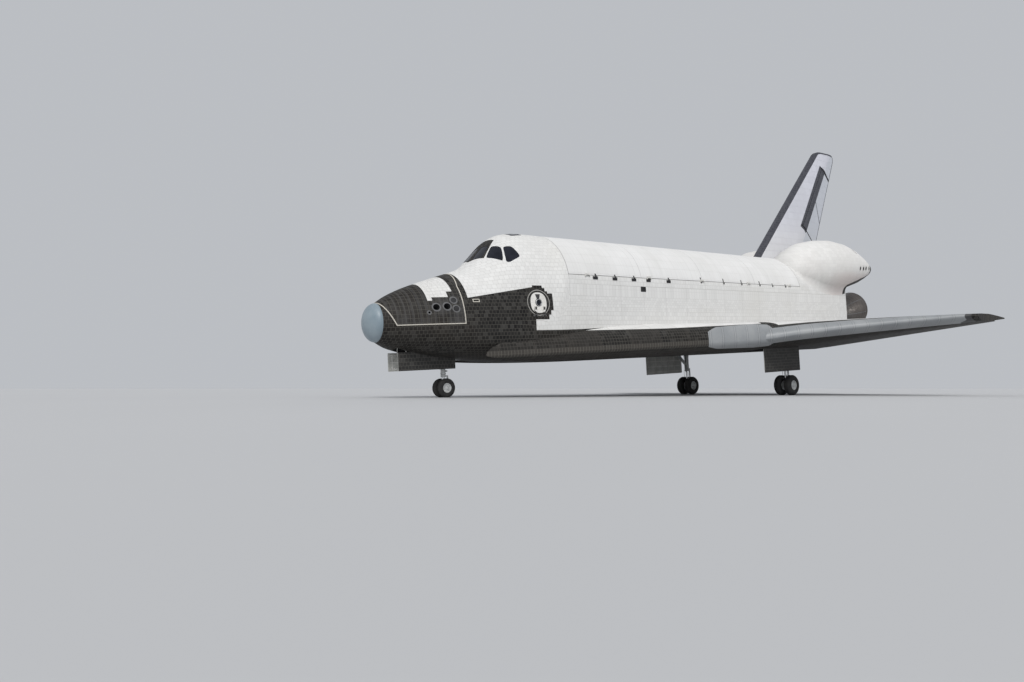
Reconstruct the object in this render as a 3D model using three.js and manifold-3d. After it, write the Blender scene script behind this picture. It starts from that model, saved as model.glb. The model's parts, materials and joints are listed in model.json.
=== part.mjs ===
// Space shuttle orbiter, full size, parked on its landing gear with the payload bay shut.
// The model is laid out in the orbiter's own inches: x is to port, y is the station, which grows
// towards the tail, and z is the waterline. The last group turns it nose down, as it parks, and
// scales it to millimetres with the wheels on z = 0.
import * as THREE from "three";
import { mergeVertices } from "three/addons/utils/BufferGeometryUtils.js";
import Module from "manifold-3d";

const wasm = await Module();
wasm.setup();

const INCH = 25.4; // millimetres
const PARKED_PITCH = THREE.MathUtils.degToRad(3.4); // nose down on the gear
const GAP = 0.3 / INCH; // between pieces that rest on each other
const RUNNING_GAP = 0.4; // round moving surfaces

// Stations where the fuselage's sections meet
const NOSE_TIP = 238;
const NOSE_CAP_END = 257;
const FORWARD_END = 576;
const MID_END = 1307;
const AFT_END = 1512;
const FUSELAGE_POINTS = 32;

// The fuselage's cross-sections, each a superellipse with one power above its waist and one below
// Columns: station, half width, bottom, waist, top, upper power, lower power
const FUSELAGE = [
  [257, 31, 309, 340, 371, 2, 2],
  [276, 42, 299, 336, 383, 2, 2.1],
  [305, 55, 291, 332, 396, 2, 2.3],
  [340, 68, 285, 329, 408, 2.05, 2.6],
  [378, 79, 280, 328, 420, 2.1, 3],
  [415, 88, 276, 328, 432, 2.1, 3.4],
  [435, 91.5, 274, 329, 444, 2.1, 3.6],
  [455, 94.5, 272.5, 330, 464, 2.1, 3.8],
  [478, 97.5, 271, 332, 486, 2.1, 4],
  [500, 100, 270, 334, 497, 2.1, 4.2],
  [530, 102.5, 269, 342, 501, 2.1, 4.5],
  [556, 104.3, 268, 360, 501, 2.05, 5],
  [576, 105, 267.5, 398, 500, 2, 6],
  [700, 105, 267, 400, 500, 2, 6],
  [1200, 105, 267, 400, 500, 2, 6],
  [1307, 105, 268, 400, 500, 2, 6],
  [1400, 106, 272, 400, 499, 2.1, 6],
  [1512, 107, 283, 400, 496, 2.2, 6],
];

// Payload bay
const BAY_AXIS = 400; // waterline of the bay's axis
const BAY_RADIUS = 93;
const SILL = 416.5; // waterline of the sill that the doors close on
const DOOR_THICKNESS = 5;
const DOOR_END_GAP = 0.5;
const DOOR_HINGE = [106, 417]; // x and z of the hinge pins
const DOOR_HINGE_STATIONS = [620, 780, 940, 1100, 1260];
const RADIATOR_THICKNESS = 1.6;
const RADIATOR_STATIONS = [590, 1060];

// Crew cabin
const CABIN_STATIONS = [428, 446, 466, 488, 510, 540, 568];
const CABIN_WALL = 7;
const CABIN_FLOOR = 300; // mid deck
const FLIGHT_DECK = 412;
// Windows, as corners on the skin. Columns: name, lower front, upper front, upper rear, lower rear,
// each corner a station and an angle round the section in degrees, where 90 is the crown
const WINDOWS = [
  ["windshield_front", [441, 87], [464, 87.5], [466, 73], [447, 70.5]],
  ["windshield_middle", [449, 67.5], [467, 69.5], [475, 61.5], [462.5, 49.5]],
  ["windshield_side", [469.5, 46.5], [476, 59.5], [489.5, 56.5], [497, 43.5]],
  ["overhead_window", [508, 85], [532, 85], [532, 72], [508, 72]],
];
const PANE_DEPTH = [0.5, 1.7]; // below the skin

// Side hatch, on the port side
const HATCH = { station: 510, z: 366, radius: 20, depth: 7, taper: 1.3 };

// Wing. The leading edge is the glove to the crank, then the swept wing
const WING_ROOT = 105;
const GLOVE_START = 500; // station
const CRANK = { y: 1024, x: 188 };
const WING_TIP = 468;
const TRAILING_EDGE_ROOT = 1525; // station of the trailing edge, carried in to the centreline
const TRAILING_EDGE_SWEEP = 0.17733;
const DIHEDRAL = THREE.MathUtils.degToRad(4.5);
const HINGE_LINE = 1387;
const HINGE_Z = 282; // at the wing root
// Columns: x, height of the upper surface over the hinge plane, depth of the lower surface under it,
// and how far the leading edge rises
const WING_SECTIONS = [
  [90, 47, 15.5, 0],
  [105, 47, 15.5, 0],
  [130, 44, 15.2, 0.5],
  [160, 41, 14.6, 1.5],
  [188, 38.5, 14, 3],
  [230, 34.5, 12.8, 6],
  [300, 27, 10.8, 8],
  [380, 19, 8.6, 8],
  [438, 13, 7, 7],
  [468, 9, 5, 6],
];
const PEAK = 0.36; // share of the fixed chord where the wing is thickest
const HINGE_RADIUS = { root: 14, slope: -0.0215 }; // half thickness at the hinge line
const ELEVON_EDGE = 1.1; // half thickness of the trailing edge
// Columns: name, inner end and outer end, measured along the hinge line from the wing root
const ELEVONS = [
  ["elevon_inboard", 8.5, 206],
  ["elevon_outboard", 208, 329],
];
const LIP = 0.42; // share of the hinge radius that the wing's lips stop short of the hinge line
// The carbon leading edge's inner boundary, as x and station, from the glove to the tip
const EDGE_STRIP = [
  [172, 866],
  [160, 876],
  [158, 905],
  [171, 1005],
  [181, 1042],
  [197, 1058],
  [300, 1166],
  [459, 1320],
  [459, 1270],
];

// Fin and rudder. Distances up the hinge line start at the fin's root
const FIN_ROOT = { y: 1280, z: 500, chord: 268.5 };
const FIN_TIP_Z = 816;
const FIN_SWEEP = 1; // tangent of the leading edge's sweep
const FIN_TRAILING_SWEEP = Math.tan(THREE.MathUtils.degToRad(26.25));
const RUDDER_SWEEP = THREE.MathUtils.degToRad(34.83);
const RUDDER_HINGE = 1443.7; // station, at the fin's root
const RUDDER_ENDS = [112, 322]; // along the hinge line
const RUDDER_RADIUS = { root: 14, slope: -0.0216 };
const RUDDER_CHORD = { root: 95.05, slope: -0.1508 };
const SHAFT_SHARE = 0.72; // the shaft's radius over the half thickness
const RUDDER_STEPS = 24; // sides of a full circle

// Body flap
const FLAP = { hinge: 1530, z: 288, radius: 8.5, chord: 83, halfWidth: 102, edge: 1.2 };

// Engine bays at the tail. Columns: name, x, station and z of the gimbal, pitch up, yaw out in degrees
const MAIN_ENGINES = [
  ["main_engine_top", 0, 1445, 443, 16, 0],
  ["main_engine_left", 53, 1468, 342.6, 10, 3.5],
  ["main_engine_right", -53, 1468, 342.6, 10, -3.5],
];
const ENGINE = { block: 22, blockEnd: 62, exit: 45.35, length: 157, wall: 1.6 };
const ENGINE_SIDES = 20;
const HEAT_SHIELD = { radius: 44, front: 30, rear: 76 };

// Orbital manoeuvring pods. Columns: station, centre x, centre z, half width, half height
const POD_SECTIONS = [
  [1309, 55, 466, 18, 18],
  [1316, 58, 465, 32, 33],
  [1330, 62, 467, 44, 46],
  [1365, 70, 472, 52, 58],
  [1410, 78, 474, 58, 64],
  [1455, 84, 475, 61, 65],
  [1495, 88, 475, 61, 60],
  [1525, 92, 473, 57, 52],
  [1548, 98, 469, 51, 41],
  [1563, 103, 467, 44, 32],
  [1574, 108, 465, 37, 23],
];
const POD_POINTS = 24;
const POD_ENGINE = { x: 82, z: 488, front: 1530, block: 15, blockEnd: 26, exit: 22, length: 60, wall: 1 };

// Flat pads on the belly where struts hold the orbiter. Columns: x, station, waterline of the face
const STRUT_PADS = {
  forward: [0, 402, 275.8],
  aft: [72, 1318, 266.6],
  size: 14,
};

// Landing gear
const MAIN_GEAR = { y: 1172, x: 136, axle: 189.5, tyre: 22.25, width: 16, rim: 10.5, track: 24 };
const NOSE_GEAR = { y: 377, x: 0, tyre: 16, width: 8.8, rim: 8, track: 17 };
const NOSE_AXLE =
  MAIN_GEAR.axle +
  ((MAIN_GEAR.y - NOSE_GEAR.y) * Math.sin(PARKED_PITCH) - (MAIN_GEAR.tyre - NOSE_GEAR.tyre)) /
    Math.cos(PARKED_PITCH);
const WHEEL_SIDES = 20;
// Wheel wells: x from and to, station from and to, and the roof's waterline
const MAIN_WELL = { x: [112, 164], y: [1050, 1186], roof: 303 };
const NOSE_WELL = { x: [-19, 19], y: [284, 392], roof: 312 };
const GEAR_DOOR = 2; // thickness

const MATERIALS = {
  white_tile: [0xdedcd6, 0.75, 0],
  black_tile: [0x26272b, 0.8, 0],
  carbon: [0x8b98a3, 0.5, 0.1],
  blanket: [0xd6d6d4, 0.85, 0],
  glass: [0x14161c, 0.08, 0],
  metal: [0x9a9fa4, 0.35, 0.8],
  engine: [0x55565a, 0.4, 0.8],
  gear: [0xc9ccce, 0.45, 0.4],
  rubber: [0x1c1c1d, 0.9, 0],
  liner: [0xbfc2bd, 0.7, 0],
  radiator: [0xb9bec4, 0.25, 0.6],
  cabin: [0x5c6064, 0.7, 0],
};

// A closed geometry as a solid that can be cut and joined
function solidOf(geometry) {
  const bare = new THREE.BufferGeometry();
  bare.setAttribute("position", geometry.getAttribute("position"));
  if (geometry.index) bare.setIndex(geometry.index);
  const merged = mergeVertices(bare, 1e-4);
  const triVerts = new Uint32Array(merged.index.array);
  const vertProperties = new Float32Array(merged.attributes.position.array);
  return new wasm.Manifold(new wasm.Mesh({ numProp: 3, vertProperties, triVerts }));
}

// A solid's mesh as a geometry
function geometryOf(solid) {
  const mesh = solid.getMesh();
  const geometry = new THREE.BufferGeometry();
  geometry.setAttribute("position", new THREE.BufferAttribute(mesh.vertProperties, 3));
  geometry.setIndex(new THREE.BufferAttribute(mesh.triVerts, 1));
  return geometry;
}

const join = (...solids) => solids.reduce((whole, piece) => whole.add(piece));
const cut = (solid, ...cutters) => cutters.reduce((left, piece) => left.subtract(piece), solid);

// A skin through rings of equal length, closed at both ends by fans. Its diagonals mirror each other
// from side to side, so a symmetric body stays symmetric
function loft(rings, matrix) {
  const count = rings[0].length;
  const points = rings.flat();
  const faces = [];
  for (let i = 0; i + 1 < rings.length; i++) {
    for (let j = 0; j < count; j++) {
      const a = i * count + j;
      const b = i * count + ((j + 1) % count);
      const far = j >= count / 4 && j < (3 * count) / 4;
      if (far) faces.push(a, b, a + count, b, b + count, a + count);
      else faces.push(a, b, b + count, a, b + count, a + count);
    }
  }
  for (const [ring, turned] of [[0, true], [rings.length - 1, false]]) {
    const middle = new THREE.Vector3();
    rings[ring].forEach((p) => middle.add(p));
    points.push(middle.divideScalar(count));
    for (let j = 0; j < count; j++) {
      const a = ring * count + j;
      const b = ring * count + ((j + 1) % count);
      faces.push(points.length - 1, ...(turned ? [b, a] : [a, b]));
    }
  }
  const geometry = new THREE.BufferGeometry().setFromPoints(points);
  if (signedVolume(points, faces) < 0) faces.reverse();
  geometry.setIndex(faces);
  if (matrix) geometry.applyMatrix4(matrix);
  return solidOf(geometry);
}

function signedVolume(points, faces) {
  const cross = new THREE.Vector3();
  let sum = 0;
  for (let i = 0; i < faces.length; i += 3) {
    cross.crossVectors(points[faces[i + 1]], points[faces[i + 2]]);
    sum += points[faces[i]].dot(cross);
  }
  return sum;
}

function box(x, y, z) {
  const geometry = new THREE.BoxGeometry(x[1] - x[0], y[1] - y[0], z[1] - z[0]);
  geometry.translate((x[0] + x[1]) / 2, (y[0] + y[1]) / 2, (z[0] + z[1]) / 2);
  return solidOf(geometry);
}

// A rod or cone from one point to another; turn is a share of one side
function rod(from, to, radius, endRadius = radius, sides = 16, turn = 0) {
  const start = new THREE.Vector3(...from);
  const along = new THREE.Vector3(...to).sub(start);
  const geometry = new THREE.CylinderGeometry(endRadius, radius, along.length(), sides);
  geometry.rotateY((turn * 2 * Math.PI) / sides);
  geometry.translate(0, along.length() / 2, 0);
  const axis = along.clone().normalize();
  geometry.applyQuaternion(new THREE.Quaternion().setFromUnitVectors(new THREE.Vector3(0, 1, 0), axis));
  geometry.translate(...from);
  return solidOf(geometry);
}

// A plate whose outline is given as x and station, from one waterline to another
function plan(outline, low, high) {
  const shape = new THREE.Shape(outline.map(([x, y]) => new THREE.Vector2(x, y)));
  const geometry = new THREE.ExtrudeGeometry(shape, { depth: high - low, bevelEnabled: false });
  geometry.translate(0, 0, low);
  return solidOf(geometry);
}

// A plate whose outline is given as station and waterline, from one x to another
function profile(outline, low, high) {
  const shape = new THREE.Shape(outline.map(([y, z]) => new THREE.Vector2(y, z)));
  const geometry = new THREE.ExtrudeGeometry(shape, { depth: high - low, bevelEnabled: false });
  const basis = new THREE.Matrix4().makeBasis(
    new THREE.Vector3(0, 1, 0),
    new THREE.Vector3(0, 0, 1),
    new THREE.Vector3(1, 0, 0),
  );
  geometry.applyMatrix4(basis);
  geometry.translate(low, 0, 0);
  return solidOf(geometry);
}

// A turned body round y; the outline is pairs of radius and distance along y, closed on itself
function turned(outline, sides, matrix, turn = 0) {
  const points = outline.map(([r, y]) => new THREE.Vector2(r, y));
  points.push(points[0].clone());
  const geometry = new THREE.LatheGeometry(points, sides);
  geometry.rotateY((turn * 2 * Math.PI) / sides);
  if (matrix) geometry.applyMatrix4(matrix);
  const solid = solidOf(geometry);
  if (solid.volume() > 0) return solid;
  const index = geometry.index.array;
  for (let i = 0; i < index.length; i += 3) [index[i], index[i + 1]] = [index[i + 1], index[i]];
  return solidOf(geometry);
}

// One column of a table at a station, on a smooth curve that never overshoots its rows
function column(table, station, index) {
  const last = table.length - 1;
  const at = Math.min(Math.max(station, table[0][0]), table[last][0]);
  const i = Math.min(table.findLastIndex((row) => row[0] <= at), last - 1);
  const slope = (k) => (table[k + 1][index] - table[k][index]) / (table[k + 1][0] - table[k][0]);
  const tangent = (k) => {
    if (k === 0) return slope(0);
    if (k === last) return slope(last - 1);
    const [before, after] = [slope(k - 1), slope(k)];
    return before * after <= 0 ? 0 : (2 * before * after) / (before + after);
  };
  const width = table[i + 1][0] - table[i][0];
  const t = (at - table[i][0]) / width;
  return (
    table[i][index] * (1 + 2 * t) * (1 - t) ** 2 +
    tangent(i) * width * t * (1 - t) ** 2 +
    table[i + 1][index] * t * t * (3 - 2 * t) +
    tangent(i + 1) * width * t * t * (t - 1)
  );
}

// A point of the fuselage's skin, at an angle round the section and a distance outside it
function skin(station, angle, outside = 0) {
  const [half, bottom, waist, top, upper, lower] = [1, 2, 3, 4, 5, 6].map((k) =>
    column(FUSELAGE, station, k),
  );
  const above = Math.sin(angle) >= 0;
  const power = 2 / (above ? upper : lower);
  const height = (above ? top - waist : waist - bottom) + outside;
  const across = Math.cos(angle);
  return new THREE.Vector3(
    Math.sign(across) * (half + outside) * Math.abs(across) ** power,
    station,
    waist + Math.sign(Math.sin(angle)) * height * Math.abs(Math.sin(angle)) ** power,
  );
}

function skinRing(station, outside = 0, move = (p) => p) {
  const ring = [];
  for (let j = 0; j < FUSELAGE_POINTS; j++) {
    ring.push(move(skin(station, (2 * Math.PI * j) / FUSELAGE_POINTS, outside)));
  }
  return ring;
}

// The fuselage between two stations
function hull(from, to, outside = 0) {
  const between = FUSELAGE.map((row) => row[0]).filter((y) => y > from + 1 && y < to - 1);
  return loft([from, ...between, to].map((y) => skinRing(y, outside)));
}

const orbiter = new THREE.Group();
orbiter.name = "orbiter";
const frame = new THREE.Group(); // in inches, in the orbiter's own axes
frame.name = "inches";
orbiter.add(frame);

function add(name, solid, material) {
  const [color, roughness, metalness] = MATERIALS[material];
  const finish = new THREE.MeshStandardMaterial({ color, roughness, metalness });
  const mesh = new THREE.Mesh(geometryOf(solid), finish);
  mesh.name = name;
  frame.add(mesh);
}

// A joint's axis: a group at its pivot whose local y axis is the axis of the joint
function pivot(name, position, direction) {
  const marker = new THREE.Group();
  marker.name = name;
  marker.position.set(...position);
  const axis = new THREE.Vector3(...direction).normalize();
  marker.quaternion.setFromUnitVectors(new THREE.Vector3(0, 1, 0), axis);
  frame.add(marker);
}

const mirrored = (solid) => solid.mirror([1, 0, 0]);
const SIDES = [
  ["left", (solid) => solid],
  ["right", mirrored],
];

// Nose cap, a blunt dome
function noseCap() {
  const depth = NOSE_CAP_END - GAP - NOSE_TIP;
  const rings = [0.03, 0.12, 0.28, 0.5, 0.75, 1].map((share) => {
    const size = Math.sqrt(1 - (1 - share) ** 2);
    const middle = column(FUSELAGE, NOSE_CAP_END, 3);
    return skinRing(NOSE_CAP_END, 0, (p) =>
      new THREE.Vector3(p.x * size, NOSE_TIP + depth * share, middle + (p.z - middle) * size),
    );
  });
  return loft(rings);
}

// The thruster module's outline, seen from the side
const THRUSTER_MODULE = [
  [259, 368],
  [275, 333],
  [377, 333],
  [377, 395],
  [385, 422],
  [385, 450],
  [259, 450],
];

function thrusterCutter(gap) {
  const outline = THRUSTER_MODULE.map(([y, z]) => [y + (y > 300 ? gap : -gap), z - gap]);
  return profile(outline, -100, 100);
}

// A cutter through the skin, narrowing towards the section's middle
function windowCutter(corners, grow, from, to, side) {
  const ring = [];
  const middle = [0, 1].map((k) => corners.reduce((sum, c) => sum + c[k], 0) / corners.length);
  corners.forEach((corner, i) => {
    const before = corners[(i + corners.length - 1) % corners.length];
    const after = corners[(i + 1) % corners.length];
    for (const other of [before, after]) {
      ring.push([0, 1].map((k) => corner[k] + (other[k] - corner[k]) * 0.16));
    }
  });
  const rings = [to, from].map((outside) =>
    ring.map(([station, degrees]) => {
      const y = middle[0] + (station - middle[0]) * grow;
      const angle = THREE.MathUtils.degToRad(middle[1] + (degrees - middle[1]) * grow);
      const p = skin(y, angle, outside);
      p.x *= side;
      return p;
    }),
  );
  return loft(rings);
}

function windows(grow, from, to) {
  const made = [];
  for (const [name, ...corners] of WINDOWS) {
    for (const [side, sign] of [["left", 1], ["right", -1]]) {
      made.push([`${name}_${side}`, windowCutter(corners, grow, from, to, sign)]);
    }
  }
  return made;
}

function cabinSpace(shrink) {
  const rings = CABIN_STATIONS.map((y) =>
    skinRing(y, -CABIN_WALL - shrink, (p) => p.setZ(Math.max(p.z, CABIN_FLOOR + shrink))),
  );
  return loft(rings);
}

// A hinge along a door's lower edge: a pin in two ears for the body and a lug for the door
function hinge(x, y, z, length) {
  const pin = 0.6;
  const ear = 1.2;
  const half = length / 2;
  const ears = [y - half - ear, y + half].flatMap((from) => [
    box([x - 8, x + pin], [from, from + ear], [z - 2.6, z - pin]),
    box([x - 1.2, x + pin], [from, from + ear], [z - pin - 0.1, z + pin]),
  ]);
  const body = join(rod([x, y - half - 0.1, z], [x, y + half + 0.1, z], pin, pin, 8), ...ears);
  const lug = box([x - 5, x + 0.4], [y - half + 0.3, y + half - 0.3], [z + pin + GAP, z + 3.2]);
  return { body, door: lug };
}

function strutPad([x, y, z]) {
  const half = STRUT_PADS.size / 2;
  return box([x - half, x + half], [y - half, y + half], [z, z + 12]);
}

// The side hatch's hinge: ears on the skin and a strap that runs up over the hatch
function hatchHinge(x, y, z, length) {
  const pin = 0.6;
  const ear = 1.2;
  const half = length / 2;
  const ears = [y - half - ear, y + half].map((from) =>
    box([x - 4, x + pin], [from, from + ear], [z - 2.6, z + pin]),
  );
  const body = join(rod([x, y - half - 0.1, z], [x, y + half + 0.1, z], pin, pin, 8), ...ears);
  const width = [y - half + 0.3, y + half - 0.3];
  const strap = box([x - 0.5, x + pin], width, [z + pin + GAP, z + 14]);
  const root = box([x - 4, x + pin], width, [z + 8.5, z + 14]);
  return { body, door: join(strap, root) };
}

// Forward fuselage with the crew cabin, and what is set into it
function forward() {
  const outer = hull(NOSE_CAP_END, FORWARD_END - GAP);
  add("nose_cap", noseCap(), "carbon");
  add("forward_thruster_module", outer.intersect(thrusterCutter(0)), "black_tile");

  const well = box(NOSE_WELL.x, NOSE_WELL.y, [200, NOSE_WELL.roof]);
  const outside = skin(HATCH.station, 0).x;
  const disc = (radius) => {
    const from = [outside - 2 * HATCH.depth, HATCH.station, HATCH.z];
    const to = [outside + 2 * HATCH.depth, HATCH.station, HATCH.z];
    return rod(from, to, radius - HATCH.taper * 2, radius + HATCH.taper * 2, 24);
  };
  const holes = windows(1.06, -30, 4).map(([, cutter]) => cutter);
  const hingeZ = HATCH.z - HATCH.radius - 0.9;
  const hingeX = skin(HATCH.station + 12, 0).x + 0.8;
  const ears = [-9, 9].map((offset) => hatchHinge(hingeX, HATCH.station + offset, hingeZ, 5));
  let body = cut(outer, thrusterCutter(GAP), well, cabinSpace(0), ...holes);
  body = cut(body, disc(HATCH.radius + RUNNING_GAP));
  body = join(body, strutPad(STRUT_PADS.forward), ...ears.map((piece) => piece.body));
  add("forward_fuselage", body, "white_tile");

  const reach = [HATCH.station - 30, HATCH.station + 30];
  const slab = box([outside - HATCH.depth, outside + 9], reach, [HATCH.z - 50, HATCH.z + 50]);
  const plug = outer.intersect(disc(HATCH.radius)).intersect(slab);
  add("crew_hatch", join(plug, ...ears.map((piece) => piece.door)), "black_tile");
  pivot("crew_hatch_hinge", [hingeX, HATCH.station, hingeZ], [0, 1, 0]);

  const shell = hull(NOSE_CAP_END, FORWARD_END, -PANE_DEPTH[0]).subtract(
    hull(NOSE_CAP_END, FORWARD_END, -PANE_DEPTH[1]),
  );
  for (const [name, cutter] of windows(1.0592, -30, 4)) {
    add(name, shell.intersect(cutter), "glass");
  }
}

// Flight deck: the floor, the instrument console, two seats and the aft console
function flightDeck() {
  const inside = cabinSpace(GAP);
  const floor = box([-90, 90], [444, 566], [FLIGHT_DECK, FLIGHT_DECK + 3]);
  const console = profile([[446, 414], [464, 414], [460, 436], [452, 438]], -40, 40);
  const seat = (x) =>
    join(
      box([x - 10, x + 10], [486, 506], [414, 430]),
      box([x - 10, x + 10], [503, 508], [428, 462]),
      box([x - 6, x + 6], [503, 508], [460, 472]),
    );
  const between = box([-7, 7], [462, 500], [414, 428]);
  const aft = box([-50, 50], [552, 566], [414, 450]);
  add(
    "flight_deck",
    join(floor.intersect(inside), console, seat(-22), seat(22), between, aft).intersect(inside),
    "cabin",
  );
}

// Mid fuselage: a trough that is the payload bay, with the doors' hinge pins along its sills
function bay() {
  const ends = [FORWARD_END, MID_END - GAP];
  const cylinder = rod([0, 500, BAY_AXIS], [0, 1400, BAY_AXIS], BAY_RADIUS, BAY_RADIUS, 36);
  const above = box([-150, 150], [500, 1400], [SILL, 600]);
  const mouth = box([-BAY_RADIUS, BAY_RADIUS], [500, 1400], [BAY_AXIS, 600]);
  let trough = cut(hull(...ends), cylinder, above, mouth);
  const hinges = DOOR_HINGE_STATIONS.map((y) => hinge(DOOR_HINGE[0], y, DOOR_HINGE[1], 9));
  for (const [, turn] of SIDES) trough = join(trough, ...hinges.map((piece) => turn(piece.body)));
  add("mid_fuselage", trough, "white_tile");

  const doorEnds = [ends[0] + DOOR_END_GAP, ends[1] - DOOR_END_GAP];
  const half = box([0.15, 150], doorEnds, [SILL + 0.8, 600]);
  const arch = hull(...ends).subtract(hull(ends[0] - 5, ends[1] + 5, -DOOR_THICKNESS));
  const sheet = hull(ends[0] - 5, ends[1] + 5, -DOOR_THICKNESS - GAP).subtract(
    hull(ends[0] - 5, ends[1] + 5, -DOOR_THICKNESS - RADIATOR_THICKNESS),
  );
  const panel = box([4, 150], RADIATOR_STATIONS, [SILL + 5, 600]);
  for (const [side, turn] of SIDES) {
    const door = join(arch.intersect(half), ...hinges.map((piece) => piece.door));
    add(`bay_door_${side}`, turn(door), "blanket");
    add(`radiator_${side}`, turn(sheet.intersect(panel)), "radiator");
    const sign = side === "left" ? 1 : -1;
    pivot(`bay_door_${side}_hinge`, [sign * DOOR_HINGE[0], 940, DOOR_HINGE[1]], [0, sign, 0]);
  }
}

const wingPlane = (x) => HINGE_Z + (x - WING_ROOT) * Math.tan(DIHEDRAL);
const hingeRadius = (along) => HINGE_RADIUS.root + HINGE_RADIUS.slope * along;
const trailingEdge = (x) => TRAILING_EDGE_ROOT - TRAILING_EDGE_SWEEP * x;

function leadingEdge(x) {
  const glove = GLOVE_START + ((x - WING_ROOT) * (CRANK.y - GLOVE_START)) / (CRANK.x - WING_ROOT);
  return x < CRANK.x ? glove : CRANK.y + (x - CRANK.x);
}

// A wing section at one x: thick ahead, thinning evenly to its rear end
function wingRing([x, upper, lower, rise], rear, rearHalf) {
  const front = leadingEdge(x);
  const chord = rear - front;
  const shares = [1, 0.82, 0.64, 0.5, PEAK, 0.25, 0.15, 0.08, 0.03, 0.006];
  const middle = (share) => wingPlane(x) + rise * Math.max(0, 1 - share / PEAK) ** 2;
  const height = (share, peak) => {
    if (share <= PEAK) return peak * Math.sqrt(1 - (1 - share / PEAK) ** 2);
    const back = (share - PEAK) / (1 - PEAK);
    return peak + (rearHalf - peak) * back ** 1.25;
  };
  const at = (share, z) => new THREE.Vector3(x, front + chord * share, z);
  const over = shares.map((s) => at(s, middle(s) + height(s, upper)));
  const under = shares.map((s) => at(s, middle(s) - height(s, lower))).reverse();
  return [...over, at(0, middle(0)), ...under];
}

// The wing's hinge line as a frame: local x runs outboard, y aft and z up, from the wing root
const hingeFrame = new THREE.Matrix4()
  .makeTranslation(WING_ROOT, HINGE_LINE, HINGE_Z)
  .multiply(new THREE.Matrix4().makeRotationY(-DIHEDRAL));
const onHinge = (along, y = 0, z = 0) => new THREE.Vector3(along, y, z).applyMatrix4(hingeFrame);

// An elevon between two distances along the hinge line
function elevon(from, to) {
  const rings = [from, to].map((along) => {
    const r = hingeRadius(along);
    const chord = trailingEdge(WING_ROOT + along) - HINGE_LINE;
    const nose = [];
    for (let k = 0; k <= 10; k++) {
      const angle = Math.PI / 2 + (Math.PI * k) / 10;
      nose.push(new THREE.Vector3(along, r * Math.cos(angle), r * Math.sin(angle)));
    }
    const edge = [-1, 1].map((sign) => new THREE.Vector3(along, chord, sign * ELEVON_EDGE));
    return [...nose, ...edge];
  });
  const pin = [from - 0.75 + GAP, to + 0.75 - GAP].map((along) => [along, 0, 0]);
  const made = loft(rings, hingeFrame);
  const bosses = rod(onHinge(pin[0][0]).toArray(), onHinge(pin[1][0]).toArray(), 2.5, 2.5, 16);
  return join(made, bosses);
}

// The wing's own hinge ribs stand between the elevons and at their ends
function hingeRib(along, thickness) {
  const rib = new THREE.BoxGeometry(thickness, 24, 6);
  rib.translate(along, -9, 0);
  rib.applyMatrix4(hingeFrame);
  return solidOf(rib);
}

function wing() {
  const fixed = WING_SECTIONS.map((row) => wingRing(row, HINGE_LINE, hingeRadius(row[0] - WING_ROOT)));
  const tip = WING_SECTIONS.slice(-2).map((row) => wingRing(row, trailingEdge(row[0]), ELEVON_EDGE));
  const end = ELEVONS[1][2] + 0.75;
  const lengths = [-30, end];
  const coveSlope = HINGE_RADIUS.slope;
  const cove = rod(
    onHinge(lengths[0]).toArray(),
    onHinge(lengths[1]).toArray(),
    hingeRadius(0) + coveSlope * lengths[0] + RUNNING_GAP,
    hingeRadius(lengths[1]) + RUNNING_GAP,
    32,
  );
  const lipRings = lengths.map((along) => {
    const lip = -LIP * hingeRadius(along);
    return [[lip, -60], [80, -60], [80, 60], [lip, 60]].map(
      ([y, z]) => new THREE.Vector3(along, y, z),
    );
  });
  let whole = cut(loft(fixed), cove, loft(lipRings, hingeFrame));
  const block = new THREE.BoxGeometry(60, 200, 60);
  block.translate(end + 30, 0, 0);
  block.applyMatrix4(hingeFrame);
  whole = join(whole, loft(tip).intersect(solidOf(block)));
  const ribs = [
    [ELEVONS[0][1] - 1.25, 1],
    [(ELEVONS[0][2] + ELEVONS[1][1]) / 2, ELEVONS[1][1] - ELEVONS[0][2] - 1.5],
  ];
  whole = join(whole, ...ribs.map(([along, thickness]) => hingeRib(along, thickness)));

  const ends = EDGE_STRIP.length - 2; // the last two points are the strip's outer end
  const strip = (grow) => {
    const inner = EDGE_STRIP.map(([x, y], i) => {
      const ahead = i < 2 || i > ends;
      const inboard = i > 0 && i < ends;
      return [x + (i < 1 ? 0 : inboard ? -grow : grow), y + (ahead ? -grow : grow)];
    });
    return plan([...inner, [430, 1180], [200, 860]], 200, 420);
  };
  const body = hull(NOSE_CAP_END, AFT_END + 2 * GAP, GAP);
  const well = box(MAIN_WELL.x, MAIN_WELL.y, [200, MAIN_WELL.roof]);
  const edge = whole.intersect(strip(0));
  const panel = cut(whole, strip(GAP), body, well);
  for (const [side, turn] of SIDES) {
    add(`wing_${side}`, turn(panel), "black_tile");
    add(`wing_leading_edge_${side}`, turn(edge), "carbon");
    const sign = side === "left" ? 1 : -1;
    for (const [name, from, to] of ELEVONS) {
      add(`${name}_${side}`, turn(elevon(from, to)), "black_tile");
      const middle = onHinge((from + to) / 2);
      const axis = onHinge(1).sub(onHinge(0));
      pivot(`${name}_${side}_hinge`, [sign * middle.x, middle.y, middle.z], [axis.x, 0, sign * axis.z]);
    }
  }
}

// The fin's hinge line as a frame: local x to port, y aft and square to the hinge, z up the hinge
const rudderFrame = new THREE.Matrix4()
  .makeTranslation(0, RUDDER_HINGE, FIN_ROOT.z)
  .multiply(new THREE.Matrix4().makeRotationX(-RUDDER_SWEEP));
const rudderRadius = (along) => RUDDER_RADIUS.root + RUDDER_RADIUS.slope * along;
const onRudder = (along) => new THREE.Vector3(0, 0, along).applyMatrix4(rudderFrame);

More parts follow.
